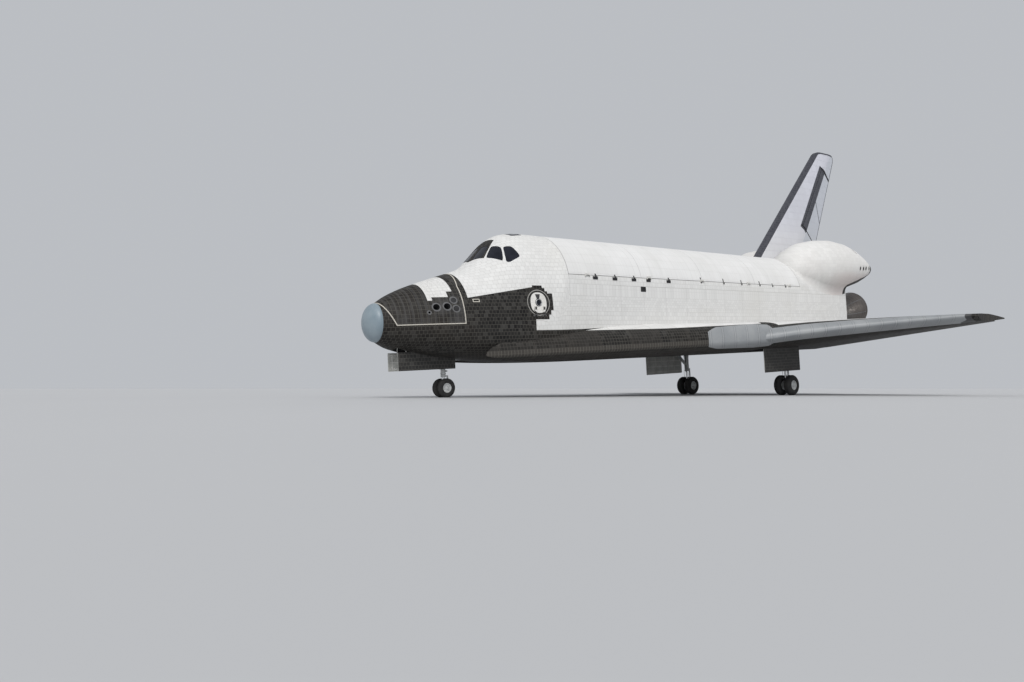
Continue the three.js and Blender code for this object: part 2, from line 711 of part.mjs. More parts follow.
function finRing(z) {
  const up = z - FIN_ROOT.z;
  const front = FIN_ROOT.y + up * FIN_SWEEP;
  const rear = FIN_ROOT.y + FIN_ROOT.chord + up * FIN_TRAILING_SWEEP;
  const hingeY = RUDDER_HINGE + up * Math.tan(RUDDER_SWEEP);
  const half = rudderRadius(up / Math.cos(RUDDER_SWEEP));
  // Columns: share of the way to the hinge line, share of the half thickness
  const wedge = [[0, 0], [0.006, 0.1], [0.03, 0.2], [0.12, 0.37], [0.5, 0.72], [1, 1]];
  const side = wedge.map(([share, thick]) => [half * thick, front + (hingeY - front) * share]);
  side.push([1, rear]);
  const port = side.map(([x, y]) => new THREE.Vector3(x, y, z));
  const starboard = side.slice(1).map(([x, y]) => new THREE.Vector3(-x, y, z)).reverse();
  return [...port, ...starboard];
}

function fin() {
  const blade = loft([470, FIN_ROOT.z, 600, 700, 796, FIN_TIP_Z].map(finRing));
  const tipRound = profile(
    [[1560, 830], [1560, 760], [1577, 797], [1592, 811], [1604, 816.5], [1720, 816.5], [1720, 830]],
    -40,
    40,
  );
  const [low, high] = RUDDER_ENDS;
  const reach = [low - 0.75, high + 0.75];
  const coveRings = reach.map((along) => {
    const face = -rudderRadius(along) - RUNNING_GAP;
    return [[-40, face], [40, face], [40, 150], [-40, 150]].map(
      ([x, y]) => new THREE.Vector3(x, y, along),
    );
  });
  const body = hull(NOSE_CAP_END, AFT_END + 2 * GAP, GAP);
  const doors = box([-40, 40], [1200, MID_END + 1], [400, 500.5 + RUNNING_GAP]);
  const made = cut(blade, tipRound, loft(coveRings, rudderFrame), body, doors, engineRoom(0));
  add("vertical_fin", made, "blanket");

  const shaft = rod(
    onRudder(reach[0] + GAP).toArray(),
    onRudder(reach[1] - GAP).toArray(),
    rudderRadius(reach[0]) * SHAFT_SHARE,
    rudderRadius(reach[1]) * SHAFT_SHARE,
    RUDDER_STEPS,
  );
  add("rudder_shaft", shaft, "metal");
  const middle = onRudder((low + high) / 2).toArray();
  const axis = onRudder(1).sub(onRudder(0)).toArray();
  pivot("rudder_turn_axis", middle, axis);

  // One half of the split rudder, from beside the shaft to the trailing edge
  const step = Math.PI / RUDDER_STEPS;
  const ring = (along) => {
    const r = rudderRadius(along);
    const chord = RUDDER_CHORD.root + RUDDER_CHORD.slope * along;
    const points = [[0.25, 0.1], [0.25, chord], [1, chord]];
    for (const angle of [0, 0.2, 0.4, 0.6]) points.push([r * Math.cos(angle), -r * Math.sin(angle)]);
    points.push([0.3 * r * Math.cos(0.65), -0.3 * r * Math.sin(0.65)]);
    return points.map(([x, y]) => new THREE.Vector3(x, y, along));
  };
  const bore = [low - 1, high + 1].map((along) => [
    onRudder(along).toArray(),
    (rudderRadius(along) * SHAFT_SHARE + GAP) / Math.cos(step),
  ]);
  const panel = cut(
    loft([ring(low), ring(high)], rudderFrame),
    rod(bore[0][0], bore[1][0], bore[0][1], bore[1][1], RUDDER_STEPS, 0.5),
  );
  for (const [side, turn] of SIDES) {
    add(`rudder_panel_${side}`, turn(panel), "blanket");
    const sign = side === "left" ? -1 : 1;
    pivot(`speed_brake_${side}_axis`, middle, axis.map((v) => v * sign));
  }
}

// Direction of an engine's nozzle, pitched up and yawed out
function engineFrame([, x, y, z, pitch, yaw]) {
  const turn = new THREE.Euler(
    THREE.MathUtils.degToRad(pitch),
    0,
    -THREE.MathUtils.degToRad(yaw),
    "ZXY",
  );
  return new THREE.Matrix4().makeRotationFromEuler(turn).setPosition(x, y, z);
}

// Free space round a main engine
function engineRoom(index) {
  const mouth = ENGINE.exit + 5;
  const outline = [[0, 30], [30, 30], [30, ENGINE.blockEnd], [mouth, ENGINE.length], [mouth, 200], [0, 200]];
  return turned(outline, ENGINE_SIDES, engineFrame(MAIN_ENGINES[index]));
}

// A bell from its plain block of machinery to its open mouth
function bell({ block, blockEnd, exit, length, wall }, matrix) {
  const shares = [0, 0.15, 0.35, 0.6, 0.8, 1];
  const radius = (share) => block * 0.62 + (exit - block * 0.62) * Math.sin((share * Math.PI) / 2) ** 0.9;
  const outside = shares.map((s) => [radius(s), blockEnd + (length - blockEnd) * s]);
  const depth = length - blockEnd - wall;
  const inside = shares.map((s) => [Math.max(radius(s) - wall, 0.5), blockEnd + wall + depth * s]);
  const front = [[0, 0], [block, 0], [block, blockEnd * 0.92]];
  const outline = [...front, ...outside, ...inside.reverse(), [0, blockEnd + wall]];
  return turned(outline, ENGINE_SIDES, matrix);
}

function tail() {
  let body = hull(MID_END, AFT_END);
  for (const row of MAIN_ENGINES) {
    const matrix = engineFrame(row);
    const shield = [[0, HEAT_SHIELD.front], [HEAT_SHIELD.radius, HEAT_SHIELD.front]];
    for (const k of [0, 1, 2, 3]) {
      const angle = (k * Math.PI) / 7;
      const reach = HEAT_SHIELD.rear - HEAT_SHIELD.front - 14;
      shield.push([HEAT_SHIELD.radius * Math.cos(angle), HEAT_SHIELD.front + 14 + reach * Math.sin(angle)]);
    }
    shield.push([0, HEAT_SHIELD.rear]);
    const base = box([-104, 104], [1400, 1560], [289, 495]);
    body = join(body, turned(shield, ENGINE_SIDES, matrix).intersect(base));
  }
  const flapCove = rod([-130, FLAP.hinge, FLAP.z], [130, FLAP.hinge, FLAP.z], FLAP.radius + RUNNING_GAP);
  body = cut(body, flapCove);
  const bracket = [
    [AFT_END - 34, FLAP.z + 24],
    [AFT_END - 14, FLAP.z - 3],
    [FLAP.hinge + 4, FLAP.z - 3],
    [FLAP.hinge + 4, FLAP.z + 3],
    [AFT_END + 1, FLAP.z + 30],
    [AFT_END - 34, FLAP.z + 34],
  ];
  const inner = FLAP.halfWidth + 0.75;
  const plate = profile(bracket, inner, inner + 1.5);
  const pad = strutPad(STRUT_PADS.aft);
  body = join(body, plate, mirrored(plate), pad, mirrored(pad));
  for (const row of MAIN_ENGINES) {
    const matrix = engineFrame(row);
    const r = ENGINE.block + GAP;
    const free = [[0, -GAP], [r, -GAP], [r, 57], [27, 64], [27, 90], [0, 90]];
    const rear = ENGINE.blockEnd + 50;
    const mouth = [[0, ENGINE.blockEnd * 0.9], [ENGINE.exit + 1, rear], [0, rear]];
    body = cut(body, turned(free, ENGINE_SIDES, matrix), turned(mouth, ENGINE_SIDES, matrix));
    add(row[0], bell(ENGINE, matrix), "engine");
  }
  add("aft_fuselage", body, "white_tile");

  const nose = [];
  for (let k = 0; k <= 10; k++) {
    const angle = Math.PI / 2 + (Math.PI * k) / 10;
    nose.push([FLAP.radius * Math.cos(angle), FLAP.radius * Math.sin(angle)]);
  }
  nose.push([FLAP.chord, -FLAP.edge], [FLAP.chord, FLAP.edge]);
  const outline = nose.map(([y, z]) => [FLAP.hinge + y, FLAP.z + z]);
  const flap = profile(outline, -FLAP.halfWidth, FLAP.halfWidth);
  const reach = FLAP.halfWidth + 0.75 - GAP;
  const pin = rod([-reach, FLAP.hinge, FLAP.z], [reach, FLAP.hinge, FLAP.z], 2.2);
  add("body_flap", join(flap, pin), "black_tile");
  pivot("body_flap_hinge", [0, FLAP.hinge, FLAP.z], [1, 0, 0]);
}

function pods() {
  const rings = POD_SECTIONS.map(([y, x, z, half, high]) => {
    const ring = [];
    for (let j = 0; j < POD_POINTS; j++) {
      const angle = (2 * Math.PI * j) / POD_POINTS;
      ring.push(new THREE.Vector3(x + half * Math.cos(angle), y, z + high * Math.sin(angle)));
    }
    return ring;
  });
  const body = hull(MID_END - 20, AFT_END + 2 * GAP, GAP);
  const finSlot = loft([470, 560].map((z) => finRing(z).map((p) => p.setX(p.x * 1.05))));
  const room = box([17, 200], [1300, 1600], [380, 600]);
  const { x, z, front, block, blockEnd, exit, length } = POD_ENGINE;
  const matrix = new THREE.Matrix4().makeTranslation(x, front, z);
  const seat = block + GAP;
  const mouth = exit + 3;
  const free = [[0, -GAP], [seat, -GAP], [seat, blockEnd * 0.9], [mouth, length - 12], [mouth, 90], [0, 90]];
  const recess = turned(free, ENGINE_SIDES, matrix);
  const pod = cut(loft(rings).intersect(room), body, finSlot, recess, engineRoom(0), engineRoom(1));
  const nozzle = bell(POD_ENGINE, matrix);
  for (const [side, turn] of SIDES) {
    add(`manoeuvring_pod_${side}`, turn(pod), "blanket");
    add(`manoeuvring_engine_${side}`, turn(nozzle), "engine");
  }
}

// A leg's twin wheels: their tyres, the rims with the axle between them, and the axle's bore
function wheels({ y, tyre, width, rim, track }, x, z) {
  const half = width / 2;
  const matrix = new THREE.Matrix4()
    .makeTranslation(x, y, z)
    .multiply(new THREE.Matrix4().makeRotationX(-PARKED_PITCH))
    .multiply(new THREE.Matrix4().makeRotationZ(-Math.PI / 2));
  const flats = Math.cos(Math.PI / WHEEL_SIDES);
  const lathe = (outline, turn = 0.5) =>
    turned(outline.map(([r, along]) => [r / flats, along]), WHEEL_SIDES, matrix, turn);
  const seat = rim + GAP;
  const wall = seat + (tyre - seat) * 0.45;
  const tread = (at) => [
    [seat, at - half * 0.8],
    [wall, at - half],
    [tyre * 0.94, at - half * 0.82],
    [tyre, at - half * 0.45],
    [tyre, at + half * 0.45],
    [tyre * 0.94, at + half * 0.82],
    [wall, at + half],
    [seat, at + half * 0.8],
  ];
  const axle = rim * 0.28;
  const corner = axle * flats;
  const at = track / 2;
  const side = [
    [corner, at - half * 0.6],
    [rim, at - half * 0.75],
    [rim, at + half * 0.75],
    [rim * 0.86, at + half * 0.75],
    [rim * 0.8, at + half * 0.3],
    [corner, at + half * 0.45],
    [corner, at + half * 0.7],
    [0, at + half * 0.7],
  ];
  const other = side.map(([r, along]) => [r, -along]).reverse();
  return {
    tyres: [at, -at].map((middle) => lathe(tread(middle))),
    rims: lathe([...other, ...side]),
    bore: lathe([[0, -6], [axle + GAP, -6], [axle + GAP, 6], [0, 6]], 0),
  };
}

function mainGear() {
  const { x, y, axle } = MAIN_GEAR;
  const roof = MAIN_WELL.roof - GAP;
  const { tyres, rims, bore } = wheels(MAIN_GEAR, x, axle);
  for (const [side, turn] of SIDES) {
    const sign = side === "left" ? 1 : -1;
    add(`main_tyre_outer_${side}`, turn(tyres[0]), "rubber");
    add(`main_tyre_inner_${side}`, turn(tyres[1]), "rubber");
    add(`main_wheels_${side}`, turn(rims), "gear");
    const leg = join(
      rod([x, y, roof], [x, y, 226], 5.2, 5.2, 14),
      rod([x, y, 230], [x, y, axle], 3.6, 3.6, 14),
      rod([x - 3, y, axle], [x + 3, y, axle], 5, 5, 14),
      rod([x - 20, y, roof - 4], [x + 20, y, roof - 4], 4, 4, 10),
      rod([x, y, 236], [x - 4, y - 62, roof], 2.4, 2.4, 8),
      rod([x, y, 236], [x + 12, y - 62, roof], 2.4, 2.4, 8),
      box([x - 1.6, x + 1.6], [y, y + 11], [axle + 4, axle + 7]),
      box([x - 1.6, x + 1.6], [y, y + 11], [230, 233]),
      box([x - 1.4, x + 1.4], [y + 8, y + 11], [axle + 4, 233]),
    );
    const flat = box([x - 60, x + 60], [y - 100, y + 60], [100, roof]);
    add(`main_gear_leg_${side}`, turn(cut(leg.intersect(flat), bore)), "gear");
    const wall = MAIN_WELL.x[1] - GAP;
    const length = [MAIN_WELL.y[0] + 2, MAIN_WELL.y[1] - 2];
    const door = box([wall - GEAR_DOOR, wall], length, [222, MAIN_WELL.roof - 22]);
    add(`main_gear_door_${side}`, turn(door), "black_tile");
    pivot(`main_wheels_${side}_axis`, [sign * x, y, axle], [1, 0, 0]);
  }
}

function noseGear() {
  const { y } = NOSE_GEAR;
  const roof = NOSE_WELL.roof - GAP;
  const { tyres, rims, bore } = wheels(NOSE_GEAR, 0, NOSE_AXLE);
  add("nose_tyre_left", tyres[0], "rubber");
  add("nose_tyre_right", tyres[1], "rubber");
  add("nose_wheels", rims, "gear");
  const split = NOSE_AXLE + 22;
  const leg = join(
    rod([0, y, roof], [0, y, split + GAP], 4, 4, 14),
    rod([-16, y, roof - 5], [16, y, roof - 5], 3, 3, 10),
    rod([0, y, split + 8], [-9, y - 60, roof], 1.8, 1.8, 8),
    rod([0, y, split + 8], [9, y - 60, roof], 1.8, 1.8, 8),
  );
  const flat = box([-40, 40], [y - 100, y + 60], [split + GAP, roof]);
  add("nose_gear_leg", leg.intersect(flat), "gear");
  const fork = join(
    rod([0, y, split], [0, y, NOSE_AXLE], 2.9, 2.9, 14),
    rod([0, y, split], [0, y, split - 4], 4.4, 4.4, 14),
    rod([-2.4, y, NOSE_AXLE], [2.4, y, NOSE_AXLE], 3.8, 3.8, 16),
  );
  add("nose_gear_fork", cut(fork, bore), "gear");
  for (const [side, turn] of SIDES) {
    const wall = NOSE_WELL.x[1] - GAP;
    const length = [NOSE_WELL.y[0] + 1.5, NOSE_WELL.y[1] - 1.5];
    add(`nose_gear_door_${side}`, turn(box([wall - GEAR_DOOR, wall], length, [262, 292])), "black_tile");
  }
  pivot("nose_steering_axis", [0, y, NOSE_AXLE + 10], [0, 0, 1]);
  pivot("nose_wheels_axis", [0, y, NOSE_AXLE], [1, 0, 0]);
}

forward();
flightDeck();
bay();
wing();
fin();
tail();
pods();
mainGear();
noseGear();

// Parked: nose down, in millimetres, centred over the ground
frame.rotation.x = PARKED_PITCH;
frame.scale.setScalar(INCH);
const extent = new THREE.Box3().setFromObject(orbiter, true);
frame.position.set(0, -(extent.min.y + extent.max.y) / 2, -extent.min.z);

export default orbiter;
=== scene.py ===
import json
import math

import bmesh
import bpy
import numpy as np
from mathutils import Matrix, Vector


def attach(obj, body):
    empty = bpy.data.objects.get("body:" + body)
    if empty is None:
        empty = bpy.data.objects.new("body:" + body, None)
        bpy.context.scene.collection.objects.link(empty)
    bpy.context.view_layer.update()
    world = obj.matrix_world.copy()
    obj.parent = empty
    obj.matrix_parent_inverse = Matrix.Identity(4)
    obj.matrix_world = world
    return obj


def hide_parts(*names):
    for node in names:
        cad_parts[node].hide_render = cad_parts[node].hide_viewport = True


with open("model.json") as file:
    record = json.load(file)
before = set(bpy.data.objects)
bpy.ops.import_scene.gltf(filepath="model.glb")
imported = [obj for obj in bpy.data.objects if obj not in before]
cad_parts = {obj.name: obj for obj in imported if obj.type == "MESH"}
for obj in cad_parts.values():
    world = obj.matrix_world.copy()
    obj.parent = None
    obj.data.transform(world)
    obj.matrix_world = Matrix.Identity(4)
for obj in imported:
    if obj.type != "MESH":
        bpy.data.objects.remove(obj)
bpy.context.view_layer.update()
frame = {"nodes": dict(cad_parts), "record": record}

INCH = 0.0254
PITCH = math.radians(3.4)  # nose down on the gear
TURN = np.array(Matrix.Rotation(PITCH, 3, "X"))
MAIN_AXLE = (136, 1172, 189.5)
SIDES = (("left", 1), ("right", -1))

# Lines that shapes and paint share
HALF_WIDTH = 105  # of the fuselage
HINGE_Z = 282  # waterline of the elevons' hinge at the wing's root
GLOVE_FRONT = 500  # station where the wing's leading edge leaves the fuselage
OUTER_START = (188, 1024)  # x and station where the leading edge turns to 45 degrees
FIN_ROOT = 500  # waterline at the fin's foot, and the stations of its three lines there
FIN_FRONT, RUDDER_HINGE, FIN_REAR = 1280, 1443.7, 1548.5

for joint in frame["record"]["behaviour"]["joints"]:
    if joint["name"] == "main_wheels_left_spin":
        SHIFT = np.array(joint["pos_m"]) - TURN @ (np.array(MAIN_AXLE) * INCH)


def placed(points):
    """Points in the orbiter's inches as points of the shared frame, in metres."""
    return np.asarray(points, float) * INCH @ TURN.T + SHIFT


def unplaced(points):
    return (np.asarray(points, float) - SHIFT) @ TURN / INCH


# Finishes


class Value:
    """A node's output that can be added, multiplied and compared in plain arithmetic."""

    def __init__(self, finish, socket):
        self.finish = finish
        self.socket = socket

    def __rsub__(self, other):
        return self.finish.math("SUBTRACT", other, self)

    def __abs__(self):
        return self.finish.math("ABSOLUTE", self)

    def between(self, low, high):
        return (self > low) * (self < high)

    def near(self, place, half):
        return abs(self - place) < half

    def smooth(self, low, high):
        """0 below low, 1 above high and a soft step between them."""
        values = {0: self, 1: low, 2: high, 3: 0.0, 4: 1.0}
        node = self.finish.node("MapRange", values, interpolation_type="SMOOTHSTEP")
        return Value(self.finish, node.outputs[0])


def operator(operation):
    return lambda value, other: value.finish.math(operation, value, other)


for method, operation in {
    "__add__": "ADD",
    "__radd__": "ADD",
    "__sub__": "SUBTRACT",
    "__mul__": "MULTIPLY",
    "__truediv__": "DIVIDE",
    "__gt__": "GREATER_THAN",
    "__lt__": "LESS_THAN",
    "max": "MAXIMUM",
    "min": "MINIMUM",
    "mod": "FLOORED_MODULO",
}.items():
    setattr(Value, method, operator(operation))


class Finish:
    """A node material in the making: one glossy shader and what feeds it."""

    def __init__(self, name):
        self.material = bpy.data.materials.new(name)
        self.material.use_nodes = True
        self.tree = self.material.node_tree
        self.tree.nodes.clear()
        self.shader = self.node("BsdfPrincipled")
        out = self.node("OutputMaterial")
        self.tree.links.new(self.shader.outputs[0], out.inputs[0])
        self.place = self.node("TexCoord").outputs["Object"]

    def node(self, kind, values=None, **options):
        made = self.tree.nodes.new("ShaderNode" + kind)
        for key, value in options.items():
            setattr(made, key, value)
        for key, value in (values or {}).items():
            self.put(made.inputs[key], value)
        return made

    def put(self, socket, value):
        if isinstance(value, Value):
            value = value.socket
        if isinstance(value, bpy.types.NodeSocket):
            self.tree.links.new(value, socket)
        elif isinstance(value, (tuple, list)) and len(value) == 3 and socket.type == "RGBA":
            socket.default_value = (*value, 1)
        else:
            socket.default_value = value

    def math(self, operation, *terms):
        values = dict(enumerate(terms))
        return Value(self, self.node("Math", values, operation=operation).outputs[0])

    def split(self, vector):
        parts = self.node("SeparateXYZ", {0: vector})
        return [Value(self, socket) for socket in parts.outputs]

    def inches(self):
        """x, station and waterline of the point being shaded."""
        values = {
            "Vector": self.place,
            "Location": -(SHIFT @ TURN) / INCH,
            "Rotation": (-PITCH, 0, 0),
            "Scale": (1 / INCH, 1 / INCH, 1 / INCH),
        }
        return self.split(self.node("Mapping", values, vector_type="POINT").outputs[0])

    def normal(self):
        return self.split(self.node("NewGeometry").outputs["Normal"])

    def girth(self):
        """Station and distance round the section, from the mesh's own map, in inches."""
        return self.split(self.node("UVMap", uv_map="girth").outputs[0])[:2]

    def vector(self, x, y, z=0.0):
        return self.node("CombineXYZ", {0: x, 1: y, 2: z}).outputs[0]

    def distance(self, across, up):
        return self.math("SQRT", across * across + up * up)

    def noise(self, scale, detail, vector=None):
        """Cloudy noise between 0 and 1, with scale in features to the metre."""
        where = self.place if vector is None else vector
        values = {"Vector": where, "Scale": scale, "Detail": detail, "Roughness": 0.55}
        return Value(self, self.node("TexNoise", values).outputs[0])

    def tiles(self, along, across, width, height, seam, offset, smooth=0.1):
        """Rows of tiles. Returns the seams as a mask and a number of its own for each tile."""
        values = {
            "Vector": self.vector(along, across),
            "Color1": (0, 0, 0, 1),
            "Color2": (1, 1, 1, 1),
            "Mortar": (0.5, 0.5, 0.5, 1),
            "Scale": 1.0,
            "Mortar Size": seam,
            "Mortar Smooth": smooth,
            "Bias": 0.0,
            "Brick Width": width,
            "Row Height": height,
        }
        brick = self.node("TexBrick", values, offset=offset, offset_frequency=2)
        return Value(self, brick.outputs["Fac"]), Value(self, brick.outputs["Color"])

    def mix(self, share, first, second):
        node = self.node("Mix", data_type="RGBA", blend_type="MIX", clamp_factor=True)
        for index, value in ((0, share), (6, first), (7, second)):
            self.put(node.inputs[index], value)
        return node.outputs[2]

    def layers(self, colour, *layers):
        """A colour with others laid over it in turn, each given as its mask and its colour."""
        for mask, tone in layers:
            colour = self.mix(mask, colour, tone)
        return colour

    def bump(self, height, depth):
        """Raised where height is 1, by depth metres."""
        values = {"Strength": 1.0, "Distance": depth, "Height": height}
        self.put(self.shader.inputs["Normal"], self.node("Bump", values).outputs[0])

    def done(self, colour, rough, gloss=None, metal=0.0):
        self.put(self.shader.inputs["Base Color"], colour)
        self.put(self.shader.inputs["Roughness"], rough)
        self.put(self.shader.inputs["Metallic"], metal)
        if gloss is not None:
            self.put(self.shader.inputs["Specular IOR Level"], gloss)
        return self.material


def most(values):
    """The greatest of several masks: 1 where any of them is."""
    first, *others = values
    for other in others:
        first = first.max(other)
    return first


def shaded(colour, share):
    return tuple(min(1.0, c * share) for c in colour)


CREAM = (0.55, 0.52, 0.46)
BLACK = (0.009, 0.0085, 0.0085)
BLACK_LIGHT = (0.026, 0.025, 0.0235)
BROWN = (0.026, 0.021, 0.016)
SEAM_LIGHT = (0.085, 0.080, 0.070)
JOINT_GREY = (0.42, 0.41, 0.39)
VOID = (0.012, 0.012, 0.013)


def black_tiles(f, along, across, width=6.0, height=6.0, seam=0.34, offset=0.5):
    """Colour, roughness and height of black coated tiles."""
    seams, own = f.tiles(along, across, width, height, seam, offset)
    tone = f.layers(
        f.mix(own, BLACK, BLACK_LIGHT),
        ((own > 0.86) * 0.5, (0.060, 0.058, 0.055)),
        (f.noise(0.35, 5.0).smooth(0.42, 0.68) * 0.5, BROWN),
        (f.noise(3.0, 4.0).smooth(0.58, 0.8) * 0.3, (0.075, 0.070, 0.060)),
        (seams * 0.85, SEAM_LIGHT),
    )
    return tone, own * 0.16 + 0.52, (1.0 - seams) + own * 0.25


def white_tiles(f, along, across, seam=0.2):
    """Colour, roughness and height of white coated tiles."""
    seams, own = f.tiles(along, across, 8.0, 8.0, seam, 0.5)
    stain = f.noise(1.0, 5.0, f.vector(along * 0.004, across * 0.03))
    tone = f.layers(
        f.mix(own, (0.68, 0.675, 0.66), (0.74, 0.735, 0.72)),
        (f.noise(0.3, 6.0).smooth(0.45, 0.7) * 0.5, (0.66, 0.65, 0.62)),
        (stain.smooth(0.55, 0.75) * 0.3, (0.58, 0.56, 0.52)),
        (seams * 0.5, (0.40, 0.39, 0.37)),
    )
    return tone, own * 0.12 + 0.62, 1.0 - seams


# Thruster openings of the nose: station, waterline, radius and depth, and shallow recesses beside them
THRUSTERS = [(334.5, 360, 5.4, 11.0), (351, 361, 5.4, 11.0), (322.5, 351.5, 1.9, 4.0)]
RECESSES = [(363, 371, 4.6), (364.5, 357.0, 4.6)]
HATCH = {"station": 510.0, "z": 366.0, "radius": 20.0}

BAY_ENDS = (576.5, 1306.5)  # outer joints of the doors

# Lines of the paint
ARCH = 386.5  # aft edge of the black nose
FIRST_LINE = (387, 374.8, 0.156)  # black below this line, from the arch to the hatch
HATCH_STEPS = [(520.5, 395.6), (525, 391.3), (529.5, 385.7), (539, 382.0)]
HATCH_FOOT = [(529.5, 337.6), (534, 345.5), (539, 353.0)]
HATCH_FRONT = 502.5
MODULE = [(259, 368), (275, 333), (377, 333)]  # thruster module: front, lower front and lower aft corner


def module_depth(y, z):
    """How far inside the thruster module's outline, in inches, seen from the side."""
    (y0, z0), (y1, z1), (y2, _) = MODULE
    length = math.hypot(y1 - y0, z1 - z0)
    slant = (y - y0) * ((z0 - z1) / length) + (z - z0) * ((y1 - y0) / length)
    aft = (z - 395).max(0.0) * 0.3 + y2 - y
    return slant.min(z - z1).min(aft)


def hull_black(x, y, z):
    """1 where the fuselage is black."""
    first = (y - FIRST_LINE[0]) * FIRST_LINE[2] + FIRST_LINE[1]
    black = (y < ARCH).max((z < first) * (y < HATCH_FRONT))
    ring = []
    for (station, top), (_, foot) in zip(HATCH_STEPS, [(0, 337.6), *HATCH_FOOT]):
        ring.append((y < station) * (z < top) * (z > foot) * (y > HATCH_FRONT - 1))
    for station, foot in HATCH_FOOT:
        ring.append((y < station) * (z > foot) * (z < 360) * (y > HATCH_FRONT - 1))
    flank = z < y.smooth(540, 800) * 7.5 + 319.5
    glare = (abs(x) < 34.2 - (y - 448) * 0.42) * (y > abs(x) * 0.3 + 436.5) * (y < 479) * (z > 420)
    return black.max(most(ring) * (x > 0)).max(flank).max(glare)


def finish_hull():
    f = Finish("hull")
    x, y, z = f.inches()
    along, across = f.girth()
    black, black_rough, black_height = black_tiles(f, along, across)
    white, white_rough, white_height = white_tiles(f, along, across)
    mask = hull_black(x, y, z)
    panel = ((y - BAY_ENDS[0]).mod(62.0) < 0.7) * (y > 570) * (y < 1306) * (z > 330)
    rail = (z - 392).mod(36.0).near(0.5, 0.35) * (y > 545) * (z > 330) * (z < 432)
    hatch_line = f.distance(y - HATCH["station"], z - HATCH["z"]) - HATCH["radius"]
    wall = (abs(f.normal()[1]) > 0.9) * y.between(570, 1312)  # the bay's ends
    quilt, patch = f.tiles(x, z, 24.0, 18.0, 0.5, 0.5, 0.4)
    lining = f.mix(patch, (0.46, 0.46, 0.44), (0.54, 0.54, 0.52))
    colour = f.layers(
        f.mix(mask, white, black),
        (panel * 0.45, JOINT_GREY),
        (rail * 0.22, JOINT_GREY),
        ((abs(module_depth(y, z)) < 0.75) * (y < 392), CREAM),
        ((y - 399).near(0, 5.6) * (z - 370).near(0, 2.6), CREAM),
        ((y - 399).near(0, 4.4) * (z - 370).near(0, 1.4), BLACK),
        (hatch_line.near(1.4, 0.65) * (x > 0), (0.34, 0.33, 0.31)),
        (wall, f.mix(quilt * 0.6, lining, (0.26, 0.26, 0.25))),
    )
    rough = black_rough * mask + white_rough * (1.0 - mask)
    height = black_height * mask + white_height * (1.0 - mask) * 0.5
    f.bump(height * (1.0 - wall), 0.006)
    return f.done(colour, rough, 0.18)


def finish_module():
    """The thruster module: black tiles in bands, with a white patch on its crown."""
    f = Finish("module")
    _, y, z = f.inches()
    along, across = f.girth()
    black, rough, height = black_tiles(f, along, across, 6.0, 7.0, 0.4, 0.0)
    bands = y.mod(11.0) < 3.0
    grey = f.noise(1.2, 5.0).smooth(0.45, 0.7)
    rims = []
    for station, level, radius, *_ in THRUSTERS + RECESSES:
        away = f.distance(y - station, z - level)
        rims.append(((1.0 - (away - radius).smooth(0.9, 2.2)) * 0.8, (0.16, 0.16, 0.165)))
    stair_y = f.math("SNAP", y, 6.0)
    front = (stair_y > 322) * (z > 371).max((stair_y > 330) * (z > 376))
    aft = (y < 356).max((y < 365) * (z > 386))
    patch = front * aft * (z > 376.5).max((y < 331) * (z > 370)) * (y > 322)
    colour = f.layers(
        black,
        (bands * 0.35, (0.075, 0.073, 0.073)),
        (grey * 0.5 * (z < 380), (0.085, 0.083, 0.083)),
        *rims,
        (abs(module_depth(y, z)) < 0.75, CREAM),
        (patch, white_tiles(f, along, across, 0.15)[0]),
    )
    f.bump(height, 0.006)
    return f.done(colour, rough, 0.18)


def finish_blanket():
    """White quilted blankets: square pillows stitched down along their edges."""
    f = Finish("blanket")
    base = (0.72, 0.71, 0.69)
    along, across = f.girth()
    seams, own = f.tiles(along, across, 20.0, 20.0, 0.28, 0.0, 0.4)
    stitch, _ = f.tiles(along, across, 2.4, 2.4, 0.16, 0.0, 0.6)
    cloud = f.noise(0.4, 6.0)
    colour = f.layers(
        f.mix(own, shaded(base, 0.9), shaded(base, 1.05)),
        (cloud.smooth(0.45, 0.72) * 0.35, shaded(base, 0.82)),
        (seams * 0.55, shaded(base, 0.62)),
    )
    f.bump((1.0 - seams) + (1.0 - stitch) * 0.35 + f.noise(90.0, 2.0) * 0.15, 0.006)
    return f.done(colour, cloud * 0.1 + 0.76, 0.2)


# Vents and slits along the doors' lower edge: stations, and for the slits half width and top too
VENTS = [639, 688, 738, 778, 836]
SLITS = [
    (937.5, 1.5, 424.5),
    (1012.5, 1.5, 424.5),
    (1075.5, 1.5, 424),
    (1143, 1.5, 424),
    (1192.5, 1.4, 420.5),
    (1245, 1.4, 420),
]


